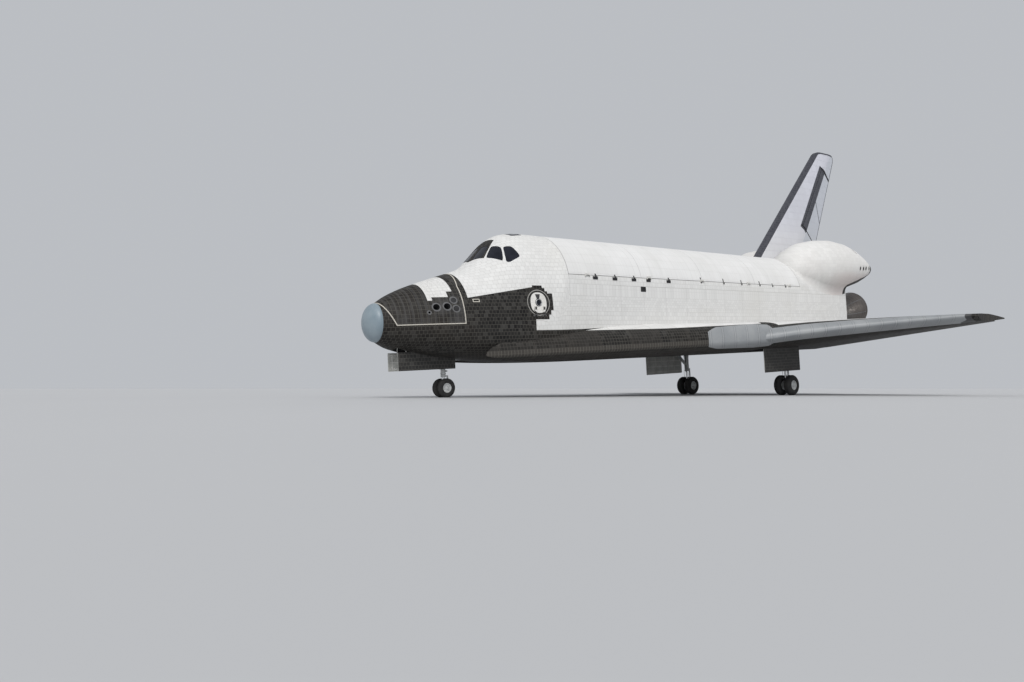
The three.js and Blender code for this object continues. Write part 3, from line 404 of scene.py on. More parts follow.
def finish_doors():
    """Payload bay doors: white, with joints between their sections and dark stems above the vents."""
    f = Finish("doors")
    _, y, z = f.inches()
    along, across = f.girth()
    seams, own = f.tiles(along, across, 24.0, 20.0, 0.3, 0.0, 0.4)
    cloud = f.noise(0.3, 6.0)
    streak = f.noise(1.0, 5.0, f.vector(along * 0.035, across * 0.005))
    joint = (y - BAY_ENDS[0]).mod(182.6).near(0, 0.8).max((y - BAY_ENDS[1]).near(0, 0.8))
    stems = most([(y - station - 1.5).near(0, 1.6) for station in VENTS])
    slits = most([(y - station).near(0, half) * (z < top) for station, half, top in SLITS])
    colour = f.layers(
        f.mix(own, (0.73, 0.725, 0.715), (0.76, 0.755, 0.745)),
        (cloud.smooth(0.42, 0.7) * 0.35, (0.62, 0.61, 0.585)),
        (streak.smooth(0.55, 0.75) * 0.35, (0.60, 0.595, 0.575)),
        ((y - BAY_ENDS[0]).mod(15.2).near(0.4, 0.4) * 0.2, (0.42, 0.415, 0.40)),
        (seams * 0.25, (0.45, 0.44, 0.425)),
        (joint * 0.6, (0.36, 0.355, 0.345)),
        (stems * (z < 420), VOID),
        (slits * (z > 417), VOID),
    )
    f.bump((1.0 - seams) * 0.7 - joint * 1.5 + f.noise(90.0, 2.0) * 0.15, 0.005)
    return f.done(colour, cloud * 0.1 + 0.72, 0.25)


def finish_plain(name, colour, rough, metal, spread, scale):
    """Paint or metal with a cloudy tone, fine scratches and a little dirt."""
    f = Finish(name)
    cloud = f.noise(scale, 6.0)
    fine = f.noise(scale * 30, 3.0)
    tone = f.layers(
        shaded(colour, 1 + spread * 0.6),
        (cloud.smooth(0.3, 0.7), shaded(colour, 1 - spread * 1.6)),
        (fine.smooth(0.62, 0.75) * 0.3, shaded(colour, 0.6)),
    )
    f.bump(fine, 0.0006)
    return f.done(tone, cloud * 0.2 + (rough - 0.1), None, metal)


def finish_carbon():
    """Grey coated carbon panels of the leading edge, each with a narrow seal strip beside it."""
    f = Finish("carbon")
    x, y, z = f.inches()
    step = (abs(x) * 0.7 + y * 0.7).mod(26.0)
    joint = step.near(0.25, 0.3).max(step.near(4.0, 0.3))
    cloud = f.noise(0.8, 6.0)
    streak = f.noise(1.0, 5.0, f.vector(x * 0.3, y * 0.01, z * 0.05))
    colour = f.layers(
        f.mix(cloud.smooth(0.35, 0.7), (0.25, 0.262, 0.272), (0.305, 0.315, 0.322)),
        ((step < 4.0) * 0.35, (0.35, 0.358, 0.365)),
        (joint * 0.7, (0.07, 0.075, 0.08)),
        (streak.smooth(0.55, 0.75) * 0.35, (0.375, 0.385, 0.39)),
        ((abs(x) > 451).max((y > 1296) * (abs(x) > 440)), (0.045, 0.045, 0.047)),
    )
    f.bump(1.0 - joint, 0.003)
    return f.done(colour, cloud * 0.15 + 0.36, 0.45)


def finish_nose():
    f = Finish("nose_carbon")
    cloud = f.noise(1.5, 6.0)
    fine = f.noise(60, 2.0)
    colour = f.layers(
        f.mix(cloud.smooth(0.3, 0.75), (0.20, 0.255, 0.295), (0.27, 0.325, 0.36)),
        (fine.smooth(0.6, 0.8) * 0.2, (0.14, 0.17, 0.19)),
    )
    f.bump(fine, 0.0008)
    return f.done(colour, cloud * 0.14 + 0.34, 0.5)


def finish_wing():
    """Wings: black tiles under and along the leading edge, a painted highlight at the glove, white blankets
    on top.
    """
    f = Finish("wing")
    x, y, z = f.inches()
    side = abs(x)
    # How far inside the leading edge, at the glove and at the outer wing
    glove = ((y - GLOVE_FRONT) * 0.1584 + HALF_WIDTH - side) * 0.9877
    outer = (y - side - (OUTER_START[1] - OUTER_START[0])) * 0.7071
    main = outer > glove
    inboard = glove.max(outer)
    across = f.distance(inboard, z - HINGE_Z - (side - HALF_WIDTH) * 0.0787)
    along = main * (side + y) * 0.7071 + (1.0 - main) * y
    black, black_rough, black_height = black_tiles(f, along, across, 6, 6, 0.34, 0.0)
    patches, own = f.tiles(along, across, 66.0, 48.0, 0.6, 0.5)
    # Painted highlight: a lighter grey-brown band along the glove's leading edge, with lighter tile joints in
    # it
    chine_highlight = (1.0 - main) * (1.0 - across.smooth(5.0, 6.2))
    ticks = y.mod(6.0).near(0.4, 0.4)
    black = f.layers(
        black,
        (own.smooth(0.35, 0.75) * 0.5, (0.040, 0.036, 0.032)),
        (patches * 0.7, (0.070, 0.062, 0.054)),
        (chine_highlight * 0.38, (0.105, 0.096, 0.084)),
        (chine_highlight * ticks * 0.6, (0.15, 0.14, 0.125)),
    )
    up = f.normal()[2] > 0.12
    top = up * (inboard > main * 20.0 + 14.0) * (side < 462) * ((y < 1386).max(side > 434))
    top = top * (z > 318).max(main)
    seams, tone = f.tiles(side, y, 30.0, 30.0, 0.3, 0.0, 0.4)
    white = f.layers(
        f.mix(tone, (0.66, 0.655, 0.64), (0.74, 0.73, 0.715)),
        (f.noise(0.4, 6.0).smooth(0.45, 0.7) * 0.4, (0.58, 0.57, 0.55)),
        (seams * 0.5, (0.40, 0.39, 0.38)),
    )
    f.bump(black_height * (1.0 - top) + (1.0 - seams) * top, 0.005)
    return f.done(f.mix(top, black, white), black_rough * (1.0 - top) + top * 0.7, 0.2)


def finish_flap(name, white_from, white_to):
    """Elevons and body flap: black tiles, with a white field on top."""
    f = Finish(name)
    x, y, _ = f.inches()
    side = abs(x)
    black, rough, height = black_tiles(f, side, y)
    field = (f.normal()[2] > 0.3) * (y > white_from) * (y < white_to - side * 0.177)
    white = f.mix(f.noise(0.5, 6.0).smooth(0.4, 0.7), (0.70, 0.69, 0.675), (0.58, 0.57, 0.555))
    f.bump(height, 0.005)
    return f.done(f.mix(field, black, white), rough, 0.35)


# Rounded corners of the fin's tip, front and rear: station and waterline of the centre, and the radius
FIN_CORNER = (1625.8, 744, 72)
FIN_REAR_CORNER = (1681.8, 802, 14)
RUDDER_ENDS = (112, 322)  # distances along the hinge


def finish_fin():
    """Fin and rudder: pale blankets in painted shade, charcoal tiles along the front, tip and hinge."""
    f = Finish("fin")
    _, y, z = f.inches()
    up = z - FIN_ROOT
    # Distances from the leading edge, the hinge line and the trailing edge, and along the hinge line
    lead = (y - up - FIN_FRONT) * 0.7071
    hinge = (y - up * 0.6959 - RUDDER_HINGE) * 0.8209
    along = (y - RUDDER_HINGE) * 0.5711 + up * 0.8209
    trail = (FIN_REAR + up * 0.4931 - y) * 0.8969
    seams, own = f.tiles(y, z, 22.0, 18.0, 0.26, 0.5, 0.4)
    cloud = f.noise(0.35, 6.0)
    # Pale tone darkened and blued as painted shade, and lighter and more neutral towards the foot as painted
    # light
    pale = f.layers(
        f.mix(own, (0.57, 0.575, 0.63), (0.62, 0.625, 0.68)),
        (cloud.smooth(0.42, 0.7) * 0.4, (0.52, 0.525, 0.56)),
        ((1.0 - z.smooth(520.0, 640.0)) * 0.6, (0.66, 0.655, 0.65)),
        ((hinge > 12) * 0.55, (0.48, 0.51, 0.55)),
        (seams * 0.3, (0.42, 0.42, 0.45)),
    )
    dark_seams, dark_own = f.tiles(y, z, 6.0, 6.0, 0.3, 0.5)
    dark = f.mix(dark_own, (0.045, 0.047, 0.060), (0.072, 0.074, 0.088))
    dark = f.mix(dark_seams * 0.6, dark, (0.12, 0.12, 0.13))
    aft, rise = y - FIN_CORNER[0], z - FIN_CORNER[1]
    width = aft.smooth(-51.0, 0.0) * -13.0 + 17.5
    corner = (f.distance(aft, rise) > FIN_CORNER[2] - width) * (aft < 0) * (aft + rise > 0)
    aft, rise = y - FIN_REAR_CORNER[0], z - FIN_REAR_CORNER[1]
    rear_corner = (f.distance(aft, rise) > FIN_REAR_CORNER[2] - 2.8) * (aft > 0) * (rise > -6.2)
    mask = most([
        z > 812,
        lead < 17.5,
        corner.max(rear_corner),
        (trail < 2.8) * (along > 325),
        hinge.between(-17.5, 13.0) * along.between(104, 325),
        (hinge * 0.62 + along - 224).near(0, 1.8) * (hinge > 12),
        (trail < 2.6) * along.between(100, 330),
    ])
    low, high = RUDDER_ENDS
    # Painted shadow: near-black lines in the gaps at the rudder's foot and head, the head's line widening
    # into a wedge
    foot = (along - low).near(-0.6, 1.7).max((along - low).near(-0.8, 2.8) * (hinge < 13))
    wedge = ((hinge + 17.5) * 0.22 + 1.5).min(8.0 - hinge * 0.07)
    head = (along > high - 1.5) * (along < wedge + high)
    gap_shadow = foot.max(head) * (hinge > -17.5)
    f.bump((1.0 - seams) * (1.0 - mask) + (1.0 - dark_seams) * mask, 0.005)
    # The gaps take near black as painted shadow
    colour = f.layers(pale, (mask, dark), (gap_shadow, (0.014, 0.014, 0.017)))
    return f.done(colour, cloud * 0.12 + 0.6, 0.3)


# Side thrusters at the aft end of each pod: station and waterline
POD_SLOTS = [(1514, 463.3), (1529, 463.6), (1541, 464.4), (1559, 465.4)]


def finish_pod():
    """Manoeuvring pods: smooth white tiles, black under the tail, with soot round the thrusters."""
    f = Finish("pod")
    x, y, z = f.inches()
    seams, own = f.tiles(y, z, 8.0, 8.0, 0.16, 0.5, 0.4)
    cloud = f.noise(0.35, 6.0)
    warm = f.noise(0.22, 3.0).smooth(0.5, 0.75)
    pink = (1.0 - z.smooth(438.0, 462.0)) * y.smooth(1380.0, 1480.0)
    under = (z < (y - 1503.5) * 0.365 + 428.0) * (y > 1496)
    aft = (y > 1566) * (abs(x) > 60)
    stripe = abs((y - 1509.5) * 0.788 + (z - 507.0) * 0.616) < 1.3
    stripe = stripe * (abs((y - 1509.5) * 0.616 - (z - 507.0) * 0.788) < 7.5)
    soot = []
    for station, level in POD_SLOTS:
        away = f.math("SQRT", (y - station) * (y - station) * 2.0 + (z - level) * (z - level))
        soot.append(((1.0 - away.smooth(6.6, 9.0)) * 0.35, (0.40, 0.395, 0.39)))
    colour = f.layers(
        f.mix(own, (0.70, 0.69, 0.67), (0.76, 0.75, 0.73)),
        (cloud.smooth(0.42, 0.72) * 0.45, (0.64, 0.62, 0.60)),
        (warm * 0.25, (0.66, 0.60, 0.58)),
        (seams * 0.28, (0.42, 0.41, 0.40)),
        (pink * 0.5, (0.66, 0.56, 0.53)),
        (under.max(aft).max(stripe), black_tiles(f, y, z, 6, 6, 0.3)[0]),
        *soot,
    )
    f.bump(1.0 - seams, 0.002)
    return f.done(colour, cloud * 0.14 + 0.5, 0.35)


def finish_engine():
    """Nozzle metal with fine tubes along it, blued near the throat and browned towards the mouth."""
    f = Finish("engine")
    along, turn = f.girth()
    tubes = f.math("SINE", turn * 360.0) * 0.5 + 0.5
    cloud = f.noise(2.0, 6.0)
    colour = f.layers(
        f.mix(cloud.smooth(0.3, 0.7), (0.14, 0.135, 0.13), (0.22, 0.21, 0.20)),
        (along.smooth(0.25, 0.9) * 0.5, (0.16, 0.13, 0.11)),
        (along.between(0.12, 0.3) * cloud * 0.5, (0.12, 0.14, 0.19)),
        (tubes * 0.25, (0.07, 0.068, 0.065)),
    )
    f.bump(tubes, 0.004)
    return f.done(colour, cloud * 0.2 + 0.3, None, 0.85)


def finish_rubber():
    f = Finish("rubber")
    cloud = f.noise(5.0, 5.0)
    dust = f.noise(18.0, 4.0)
    colour = f.layers(
        f.mix(cloud.smooth(0.35, 0.7), (0.021, 0.021, 0.022), (0.035, 0.034, 0.033)),
        (dust.smooth(0.6, 0.8) * 0.4, (0.09, 0.085, 0.078)),
    )
    f.bump(dust, 0.0008)
    return f.done(colour, cloud * 0.15 + 0.72, 0.3)


def finish_glass():
    f = Finish("glass")
    cloud = f.noise(2.5, 3.0)
    colour = f.mix(cloud.smooth(0.3, 0.7), (0.006, 0.007, 0.012), (0.012, 0.014, 0.022))
    return f.done(colour, cloud * 0.06 + 0.17, 0.25)


def finish_radiator():
    """Silvery film over the coolant tubes of the radiator panels."""
    f = Finish("radiator")
    y = f.inches()[1]
    lines = y.mod(3.8).near(1.9, 0.35)
    seams = y.mod(60.0).near(0.5, 0.5)
    cloud = f.noise(0.8, 5.0)
    colour = f.layers(
        f.mix(cloud, (0.56, 0.58, 0.61), (0.68, 0.69, 0.70)),
        (lines * 0.3, (0.42, 0.44, 0.47)),
        (seams * 0.8, (0.22, 0.23, 0.24)),
    )
    f.bump(lines, 0.002)
    return f.done(colour, cloud * 0.12 + 0.2, None, 0.6)


def finish_liner():
    """White cloth that lines the payload bay, stitched in panels between the frames."""
    f = Finish("liner")
    x, y, z = f.inches()
    frames = (y - 576.0).mod(56.2).near(1.5, 1.6)
    seams, own = f.tiles(y, x + z, 28.1, 24.0, 0.4, 0.0, 0.5)
    wrinkle = f.noise(3.0, 5.0)
    colour = f.layers(
        f.mix(own, (0.50, 0.50, 0.48), (0.60, 0.60, 0.575)),
        (seams * 0.5, (0.33, 0.33, 0.31)),
        (frames * 0.8, (0.30, 0.33, 0.27)),
    )
    f.bump(wrinkle * 0.6 + frames * 1.5 - seams * 0.5, 0.01)
    return f.done(colour, wrinkle * 0.1 + 0.75)


def finish_hatch():
    """The side hatch: a pale panel in a black ring with a thin outline, and a dark window."""
    f = Finish("hatch")
    _, y, z = f.inches()
    across, up = y - HATCH["station"], z - HATCH["z"]
    wide = 15.6 - (up / 17.4) * (up / 17.4) * (up > 0) * 1.5
    panel = f.math("POWER", abs(across) / wide, 2.6) + f.math("POWER", abs(up) / 17.4, 2.6)
    seams, own = f.tiles(y, z, 6.0, 6.0, 0.25, 0.5)
    cloud = f.noise(1.5, 5.0)
    white = f.mix(cloud.smooth(0.35, 0.7), (0.74, 0.725, 0.69), (0.62, 0.605, 0.57))
    dark = f.mix(own, BLACK, BLACK_LIGHT)
    wedge = (abs(across + 0.5) < (up * 0.28 + 0.8)) * up.between(3.0, 14.5)
    colour = f.layers(
        f.mix(seams * 0.6, dark, SEAM_LIGHT),
        (panel < 1.0, f.mix(seams * 0.15, white, (0.45, 0.44, 0.42))),
        (wedge, (0.04, 0.04, 0.042)),
        (f.distance(across, up) < 6.6, (0.03, 0.03, 0.033)),
    )
    f.bump(1.0 - seams, 0.002)
    return f.done(colour, cloud * 0.15 + 0.5, 0.35)


def finish_shield():
    """Heat shields and the tail's base: dark tiles with pale seams."""
    f = Finish("shield")
    x, _, z = f.inches()
    seams, own = f.tiles(x, z, 6.0, 6.0, 0.3, 0.5)
    cloud = f.noise(0.8, 5.0)
    colour = f.layers(
        f.mix(own, (0.035, 0.034, 0.035), (0.085, 0.08, 0.078)),
        (cloud.smooth(0.42, 0.7) * 0.5, (0.11, 0.10, 0.09)),
        (seams * 0.7, (0.17, 0.16, 0.145)),
    )
    f.bump(1.0 - seams, 0.006)
    return f.done(colour, cloud * 0.15 + 0.55, 0.3)


def finish_door_tiles():
    """Gear doors: black tiles outside and pale paint inside."""
    f = Finish("door_tiles")
    x, y, z = f.inches()
    black, rough, height = black_tiles(f, y, z)
    outward = f.normal()[0] * x > 0
    inner = f.mix(f.noise(2.0, 5.0).smooth(0.35, 0.7), (0.55, 0.55, 0.52), (0.44, 0.44, 0.41))
    f.bump(height, 0.005)
    return f.done(f.mix(outward, inner, black), rough)


FINISHES = {
    "hull": finish_hull(),
    "module": finish_module(),
    "blanket": finish_blanket(),
    "doors": finish_doors(),
    "carbon": finish_carbon(),
    "nose": finish_nose(),
    "wing": finish_wing(),
    "elevon": finish_flap("elevon", 1404, 1512),
    "flap": finish_flap("flap", 1540, 1545),
    "fin": finish_fin(),
    "pod": finish_pod(),
    "engine": finish_engine(),
    "rubber": finish_rubber(),
    "glass": finish_glass(),
    "radiator": finish_radiator(),
    "liner": finish_liner(),
    "hatch": finish_hatch(),
    "shield": finish_shield(),
    "door_tiles": finish_door_tiles(),
}
# Plain paints and metals: colour, roughness, metal, spread of the tone and scale of its clouds
for name, row in {
    "dark": ((0.018, 0.018, 0.02), 0.75, 0.0, 0.3, 2.0),
    "soot": ((0.06, 0.058, 0.056), 0.7, 0.0, 0.3, 4.0),
    "grey": ((0.16, 0.158, 0.155), 0.6, 0.0, 0.25, 6.0),
    "white_paint": ((0.68, 0.67, 0.64), 0.42, 0.0, 0.08, 2.0),
    "gear_paint": ((0.56, 0.57, 0.57), 0.38, 0.0, 0.12, 5.0),
    "chrome": ((0.72, 0.73, 0.74), 0.14, 0.95, 0.06, 8.0),
    "steel": ((0.34, 0.345, 0.35), 0.38, 0.85, 0.16, 7.0),
    "primer": ((0.30, 0.33, 0.22), 0.6, 0.0, 0.14, 3.0),
    "cabin": ((0.13, 0.14, 0.15), 0.65, 0.0, 0.16, 4.0),
    "hose": ((0.03, 0.03, 0.032), 0.55, 0.0, 0.2, 12.0),
}.items():
    FINISHES[name] = finish_plain(name, *row)


# Meshes. A shape is its points, in inches, and its faces


def built(name, shape, finishes, slots=None, smooth=32.0):
    """An object in the shared frame from a shape. slots gives each face's finish."""
    points, faces = shape
    mesh = bpy.data.meshes.new(name)
    mesh.from_pydata(placed(points).tolist(), [], [tuple(int(i) for i in face) for face in faces])
    for finish in [finishes] if isinstance(finishes, str) else finishes:
        mesh.materials.append(FINISHES[finish])
    if slots is not None:
        mesh.polygons.foreach_set("material_index", np.asarray(slots, dtype=np.int32))
    made = bpy.data.objects.new(name, mesh)
    bpy.context.scene.collection.objects.link(made)
    work = bmesh.new()
    work.from_mesh(mesh)
    bmesh.ops.recalc_face_normals(work, faces=work.faces)
    work.to_mesh(mesh)
    work.free()
    return shade(made, smooth)


def shade(made, smooth=32.0):
    mesh = made.data
    mesh.polygons.foreach_set("use_smooth", np.ones(len(mesh.polygons), dtype=bool))
    mesh.set_sharp_from_angle(angle=math.radians(smooth))
    return made


def rides(made, body, node):
    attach(made, body)
    if node:
        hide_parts(node)
    return made


def piece(name, shape, finishes, body="orbiter", node=None, sign=1, slots=None, smooth=32.0):
    """A built object that rides on a body. With sign -1 the shape is mirrored to starboard."""
    points, faces = shape
    if sign < 0:
        points = np.array(points, float) * (-1, 1, 1)
    return rides(built(name, (points, faces), finishes, slots, smooth), body, node)


def copied(made, name):
    other = made.copy()
    other.data = made.data.copy()
    other.name = name
    bpy.context.scene.collection.objects.link(other)
    return other


def one_finish(made, finish):
    made.data.materials.clear()
    made.data.materials.append(FINISHES[finish])
    made.data.polygons.foreach_set("material_index", np.zeros(len(made.data.polygons), dtype=np.int32))


def unit(vector):
    return vector / np.linalg.norm(vector)


def square_to(axis, helper, spare=None, limit=1.0):
    """Two directions square to an axis and to each other."""
    if spare is not None and abs(axis @ helper) >= limit:
        helper = spare
    one = unit(np.cross(axis, helper))
    return one, np.cross(axis, one)


def turns(count):
    return np.arange(count) * 2 * math.pi / count


def circle(count, one, two):
    angles = turns(count)
    return np.cos(angles)[:, None] * one + np.sin(angles)[:, None] * two


X, Y, Z = np.eye(3)


def lofted(rings, closed=True):
    """Points and faces of a skin through rings, with flat ends."""
    rings = np.asarray(rings, float)
    count, size = rings.shape[:2]
    grid = np.arange(count * size).reshape(count, size)
    faces = []
    for i in range(count - 1):
        for j in range(size):
            k = (j + 1) % size
            faces.append((grid[i, j], grid[i, k], grid[i + 1, k], grid[i + 1, j]))
    if closed:
        faces.append(tuple(grid[0][::-1]))
        faces.append(tuple(grid[-1]))
    return rings.reshape(-1, 3), faces


def joined(*shapes):
    """Several shapes as one."""
    points = []
    faces = []
    total = 0
    for shape_points, shape_faces in shapes:
        points.append(np.asarray(shape_points, float))
        faces += [tuple(int(i) + total for i in face) for face in shape_faces]
        total += len(shape_points)
    return np.concatenate(points), faces


def spun(outline, start, end, sides=48, closed=False):
    """A turned body. outline is pairs of radius and distance from start towards end."""
    start = np.array(start, float)
    axis = unit(np.array(end, float) - start)
    ring = circle(sides, *square_to(axis, Z, Y, 0.9))
    rings = [start + axis * along + ring * max(radius, 1e-3) for radius, along in outline]
    points, faces = lofted(rings, closed=not closed)
    if closed:
        last = (len(outline) - 1) * sides
        for j in range(sides):
            k = (j + 1) % sides
            faces.append((last + j, last + k, k, j))
    return points, faces


def rod(start, end, radius, end_radius=None, sides=24, chamfer=0.12):
    """A rod with softened ends."""
    end_radius = radius if end_radius is None else end_radius
    length = float(np.linalg.norm(np.array(end, float) - np.array(start, float)))
    soft = min(radius, end_radius) * chamfer
    outline = [(radius - soft, 0), (radius, soft), (end_radius, length - soft), (end_radius - soft, length)]
    return spun(outline, start, end, sides)


def cross_rod(x, half, y, z, radius, sides=24):
    """A rod from side to side, with its middle at x."""
    return rod((x - half, y, z), (x + half, y, z), radius, sides=sides)


def block(x, y, z, soft=0.25):
    """A box with chamfered edges."""
    soft = min(soft, (x[1] - x[0]) / 3, (y[1] - y[0]) / 3, (z[1] - z[0]) / 3)
    rings = []
    for level, inset in ((z[0], soft), (z[0] + soft, 0), (z[1] - soft, 0), (z[1], soft)):
        x0, x1, y0, y1 = x[0] + inset, x[1] - inset, y[0] + inset, y[1] - inset
        rings.append([
            (x0 + soft, y0, level), (x1 - soft, y0, level), (x1, y0 + soft, level),
            (x1, y1 - soft, level), (x1 - soft, y1, level), (x0 + soft, y1, level),
            (x0, y1 - soft, level), (x0, y0 + soft, level),
        ])
    return lofted(rings)


def prism(outline, axis, low, high):
    """A plate from an outline in two axes, between two places on the third axis."""
    order = {"x": (1, 2, 0), "z": (0, 1, 2)}[axis]
    rings = np.zeros((2, len(outline), 3))
    for ring, level in zip(rings, (low, high)):
        ring[:, order[0]] = [p[0] for p in outline]
        ring[:, order[1]] = [p[1] for p in outline]
        ring[:, order[2]] = level
    return lofted(rings)


def tube(path, radius, sides=10):
    """A pipe along points, with parallel rings."""
    path = np.asarray(path, float)
    rings = []
    for i, point in enumerate(path):
        axis = unit(path[min(i + 1, len(path) - 1)] - path[max(i - 1, 0)])
        rings.append(point + radius * circle(sides, *square_to(axis, X, Z, 0.8)))
    return lofted(rings)


def eased(path, steps=6):
    """A smooth curve through points."""
    path = np.asarray(path, float)
    ends = np.vstack([2 * path[0] - path[1], path, 2 * path[-1] - path[-2]])
    out = []
    for i in range(1, len(ends) - 2):
        p0, p1, p2, p3 = ends[i - 1:i + 3]
        for k in range(steps):
            t = k / steps
            out.append(0.5 * (2 * p1 + (p2 - p0) * t + (2 * p0 - 5 * p1 + 4 * p2 - p3) * t * t
                              + (3 * p1 - p0 - 3 * p2 + p3) * t ** 3))
    out.append(path[-1])
    return np.array(out)


def carve(made, cutters, operation="DIFFERENCE"):
    """Cuts made by other objects, or keeps what it shares with them, and removes them."""
    for tool in cutters:
        change = made.modifiers.new("carve", "BOOLEAN")
        change.object = tool
        change.operation = operation
        change.solver = "EXACT"
        change.material_mode = "INDEX"
    graph = bpy.context.evaluated_depsgraph_get()
    mesh = bpy.data.meshes.new_from_object(made.evaluated_get(graph), depsgraph=graph)
    made.modifiers.clear()
    made.data = mesh
    for tool in cutters:
        bpy.data.objects.remove(tool)
    return made


def cutter(shape, slot=0):
    """An object for carve(). The faces that it leaves take the finish in that slot."""
    return built("cutter", shape, ["dark"] * (slot + 1), np.full(len(shape[1]), slot))


def points_of(mesh):
    points = np.empty(len(mesh.vertices) * 3)
    mesh.vertices.foreach_get("co", points)
    return points.reshape(-1, 3)


def mapped(made, rule):
    """Gives the mesh a map in inches: rule turns points into two columns."""
    mesh = made.data
    values = rule(unplaced(points_of(mesh)))
    corners = np.empty(len(mesh.loops), dtype=np.int32)
    mesh.loops.foreach_get("vertex_index", corners)
    layer = mesh.uv_layers.get("girth") or mesh.uv_layers.new(name="girth")
    layer.data.foreach_set("uv", values[corners].astype(np.float32).ravel())
    return made


def flip(made):
    """The mirror image across the centre plane."""
    mesh = made.data
    points = points_of(mesh)
    points[:, 0] *= -1
    mesh.vertices.foreach_set("co", points.ravel())
    mesh.flip_normals()
    mesh.update()


# Fuselage. Columns: station, half width, bottom, waist, top, upper power, lower power
FUSELAGE = np.array([
    (257, 31, 309, 340, 371, 2, 2),
    (276, 42, 299, 336, 383, 2, 2.1),
    (305, 55, 291, 332, 396, 2, 2.3),
    (340, 68, 285, 329, 408, 2.05, 2.6),
    (378, 79, 280, 328, 420, 2.1, 3),
    (415, 88, 276, 328, 432, 2.1, 3.4),
    (435, 91.5, 274, 329, 444, 2.1, 3.6),
    (455, 94.5, 272.5, 330, 464, 2.1, 3.8),
    (478, 97.5, 271, 332, 486, 2.1, 4),
    (500, 100, 270, 334, 497, 2.1, 4.2),
    (530, 102.5, 269, 342, 501, 2.1, 4.5),
    (556, 104.3, 268, 360, 501, 2.05, 5),
    (576, 105, 267.5, 398, 500, 2, 6),
    (700, 105, 267, 400, 500, 2, 6),
    (1200, 105, 267, 400, 500, 2, 6),
    (1307, 105, 268, 400, 500, 2, 6),
    (1400, 106, 272, 400, 499, 2.1, 6),
    (1512, 107, 283, 400, 496, 2.2, 6),
], float)
NOSE_TIP, NOSE_CAP_END, FORWARD_END, MID_END, AFT_END = 238, 257, 576, 1307, 1512
SILL, BAY_AXIS, BAY_RADIUS = 416.5, 400, 93
GAP = 0.02  # between pieces that rest on each other
RUNNING_GAP = 0.4  # round what turns
# Gear wells: half width or sides, stations and roof
NOSE_WELL = (19, (284, 392), 312)
MAIN_WELL = ((112, 164), (1050, 1186), 303)


def column(station, index):
    """One column of the fuselage's table at a station, on a curve that never overshoots."""
    table = FUSELAGE
    last = len(table) - 1
    at = min(max(station, table[0, 0]), table[last, 0])
    i = min(int(np.searchsorted(table[:, 0], at, side="right")) - 1, last - 1)

    def slope(k):
        return (table[k + 1, index] - table[k, index]) / (table[k + 1, 0] - table[k, 0])

    def tangent(k):
        if k in (0, last):
            return slope(min(k, last - 1))
        before, after = slope(k - 1), slope(k)
        return 0 if before * after <= 0 else 2 * before * after / (before + after)

    width = table[i + 1, 0] - table[i, 0]
    t = (at - table[i, 0]) / width
    return (
        table[i, index] * (1 + 2 * t) * (1 - t) ** 2
        + tangent(i) * width * t * (1 - t) ** 2
        + table[i + 1, index] * t * t * (3 - 2 * t)
        + tangent(i + 1) * width * t * t * (t - 1)
    )


def section(station, angles, outside=0.0):
    """Points of the skin at a station, at angles round the section."""
    half, bottom, waist, top, upper, lower = (column(station, k) for k in range(1, 7))
    across, rise = np.cos(angles), np.sin(angles)
    above = rise >= 0
    power = 2 / np.where(above, upper, lower)
    height = np.where(above, top - waist, waist - bottom) + outside
    x = np.sign(across) * (half + outside) * np.abs(across) ** power
    z = waist + np.sign(rise) * height * np.abs(rise) ** power
    return np.stack([x, np.full_like(x, station), z], axis=1)


def skin(station, angle, outside=0.0):
    return section(station, np.array([angle], float), outside)[0]


def run_of(points):
    """The distance along a path at each of its points."""
    return np.concatenate([[0], np.cumsum(np.linalg.norm(np.diff(points, axis=0), axis=1))])


def even_angles(station, count=120):
    """Angles that share the section's outline evenly, so corners get their points."""
    fine = np.linspace(0, 2 * math.pi, 721)
    run = run_of(section(station, fine))
    return np.interp(np.arange(count) / count * run[-1], run, fine)


def hull(start, end, step, outside=0.0, count=120):
    stations = np.linspace(start, end, max(2, int(round((end - start) / step)) + 1))
    return lofted([section(y, even_angles(y, count), outside) for y in stations])


GIRTH_STATIONS = np.concatenate([np.arange(238, 600, 6.0), [700, 1200, 1307, 1400, 1512, 1560]])
GIRTH_ANGLES = np.linspace(-math.pi / 2, math.pi / 2, 181)
GIRTHS = []
for station in GIRTH_STATIONS:
    run = run_of(section(station, GIRTH_ANGLES))
    GIRTHS.append(run - np.interp(0, GIRTH_ANGLES, run) + column(station, 3))
GIRTHS = np.array(GIRTHS)


def girth(points):
    """Station and distance round the section, in inches, from points."""
    x, y, z = np.abs(points[:, 0]), points[:, 1], points[:, 2]
    half, bottom, waist, top, upper, lower = (
        np.interp(y, GIRTH_STATIONS, [column(s, k) for s in GIRTH_STATIONS]) for k in range(1, 7)
    )
    above = z >= waist
    power = np.where(above, upper, lower) / 2
    height = np.where(above, top - waist, waist - bottom)
    across = np.clip(x / half, 0, 1.2) ** power
    rise = np.clip(np.abs(z - waist) / height, 0, 1.2) ** power
    angle = np.arctan2(np.where(above, rise, -rise), across)
    row = np.interp(y, GIRTH_STATIONS, np.arange(len(GIRTH_STATIONS)))
    low = np.clip(row.astype(int), 0, len(GIRTH_STATIONS) - 2)
    place = np.clip((angle + math.pi / 2) / math.pi * 180, 0, 179.999)
    left = place.astype(int)
    share, part = row - low, place - left
    before, after = (GIRTHS[r, left] * (1 - part) + GIRTHS[r, left + 1] * part for r in (low, low + 1))
    return np.stack([y, before * (1 - share) + after * share], axis=1)


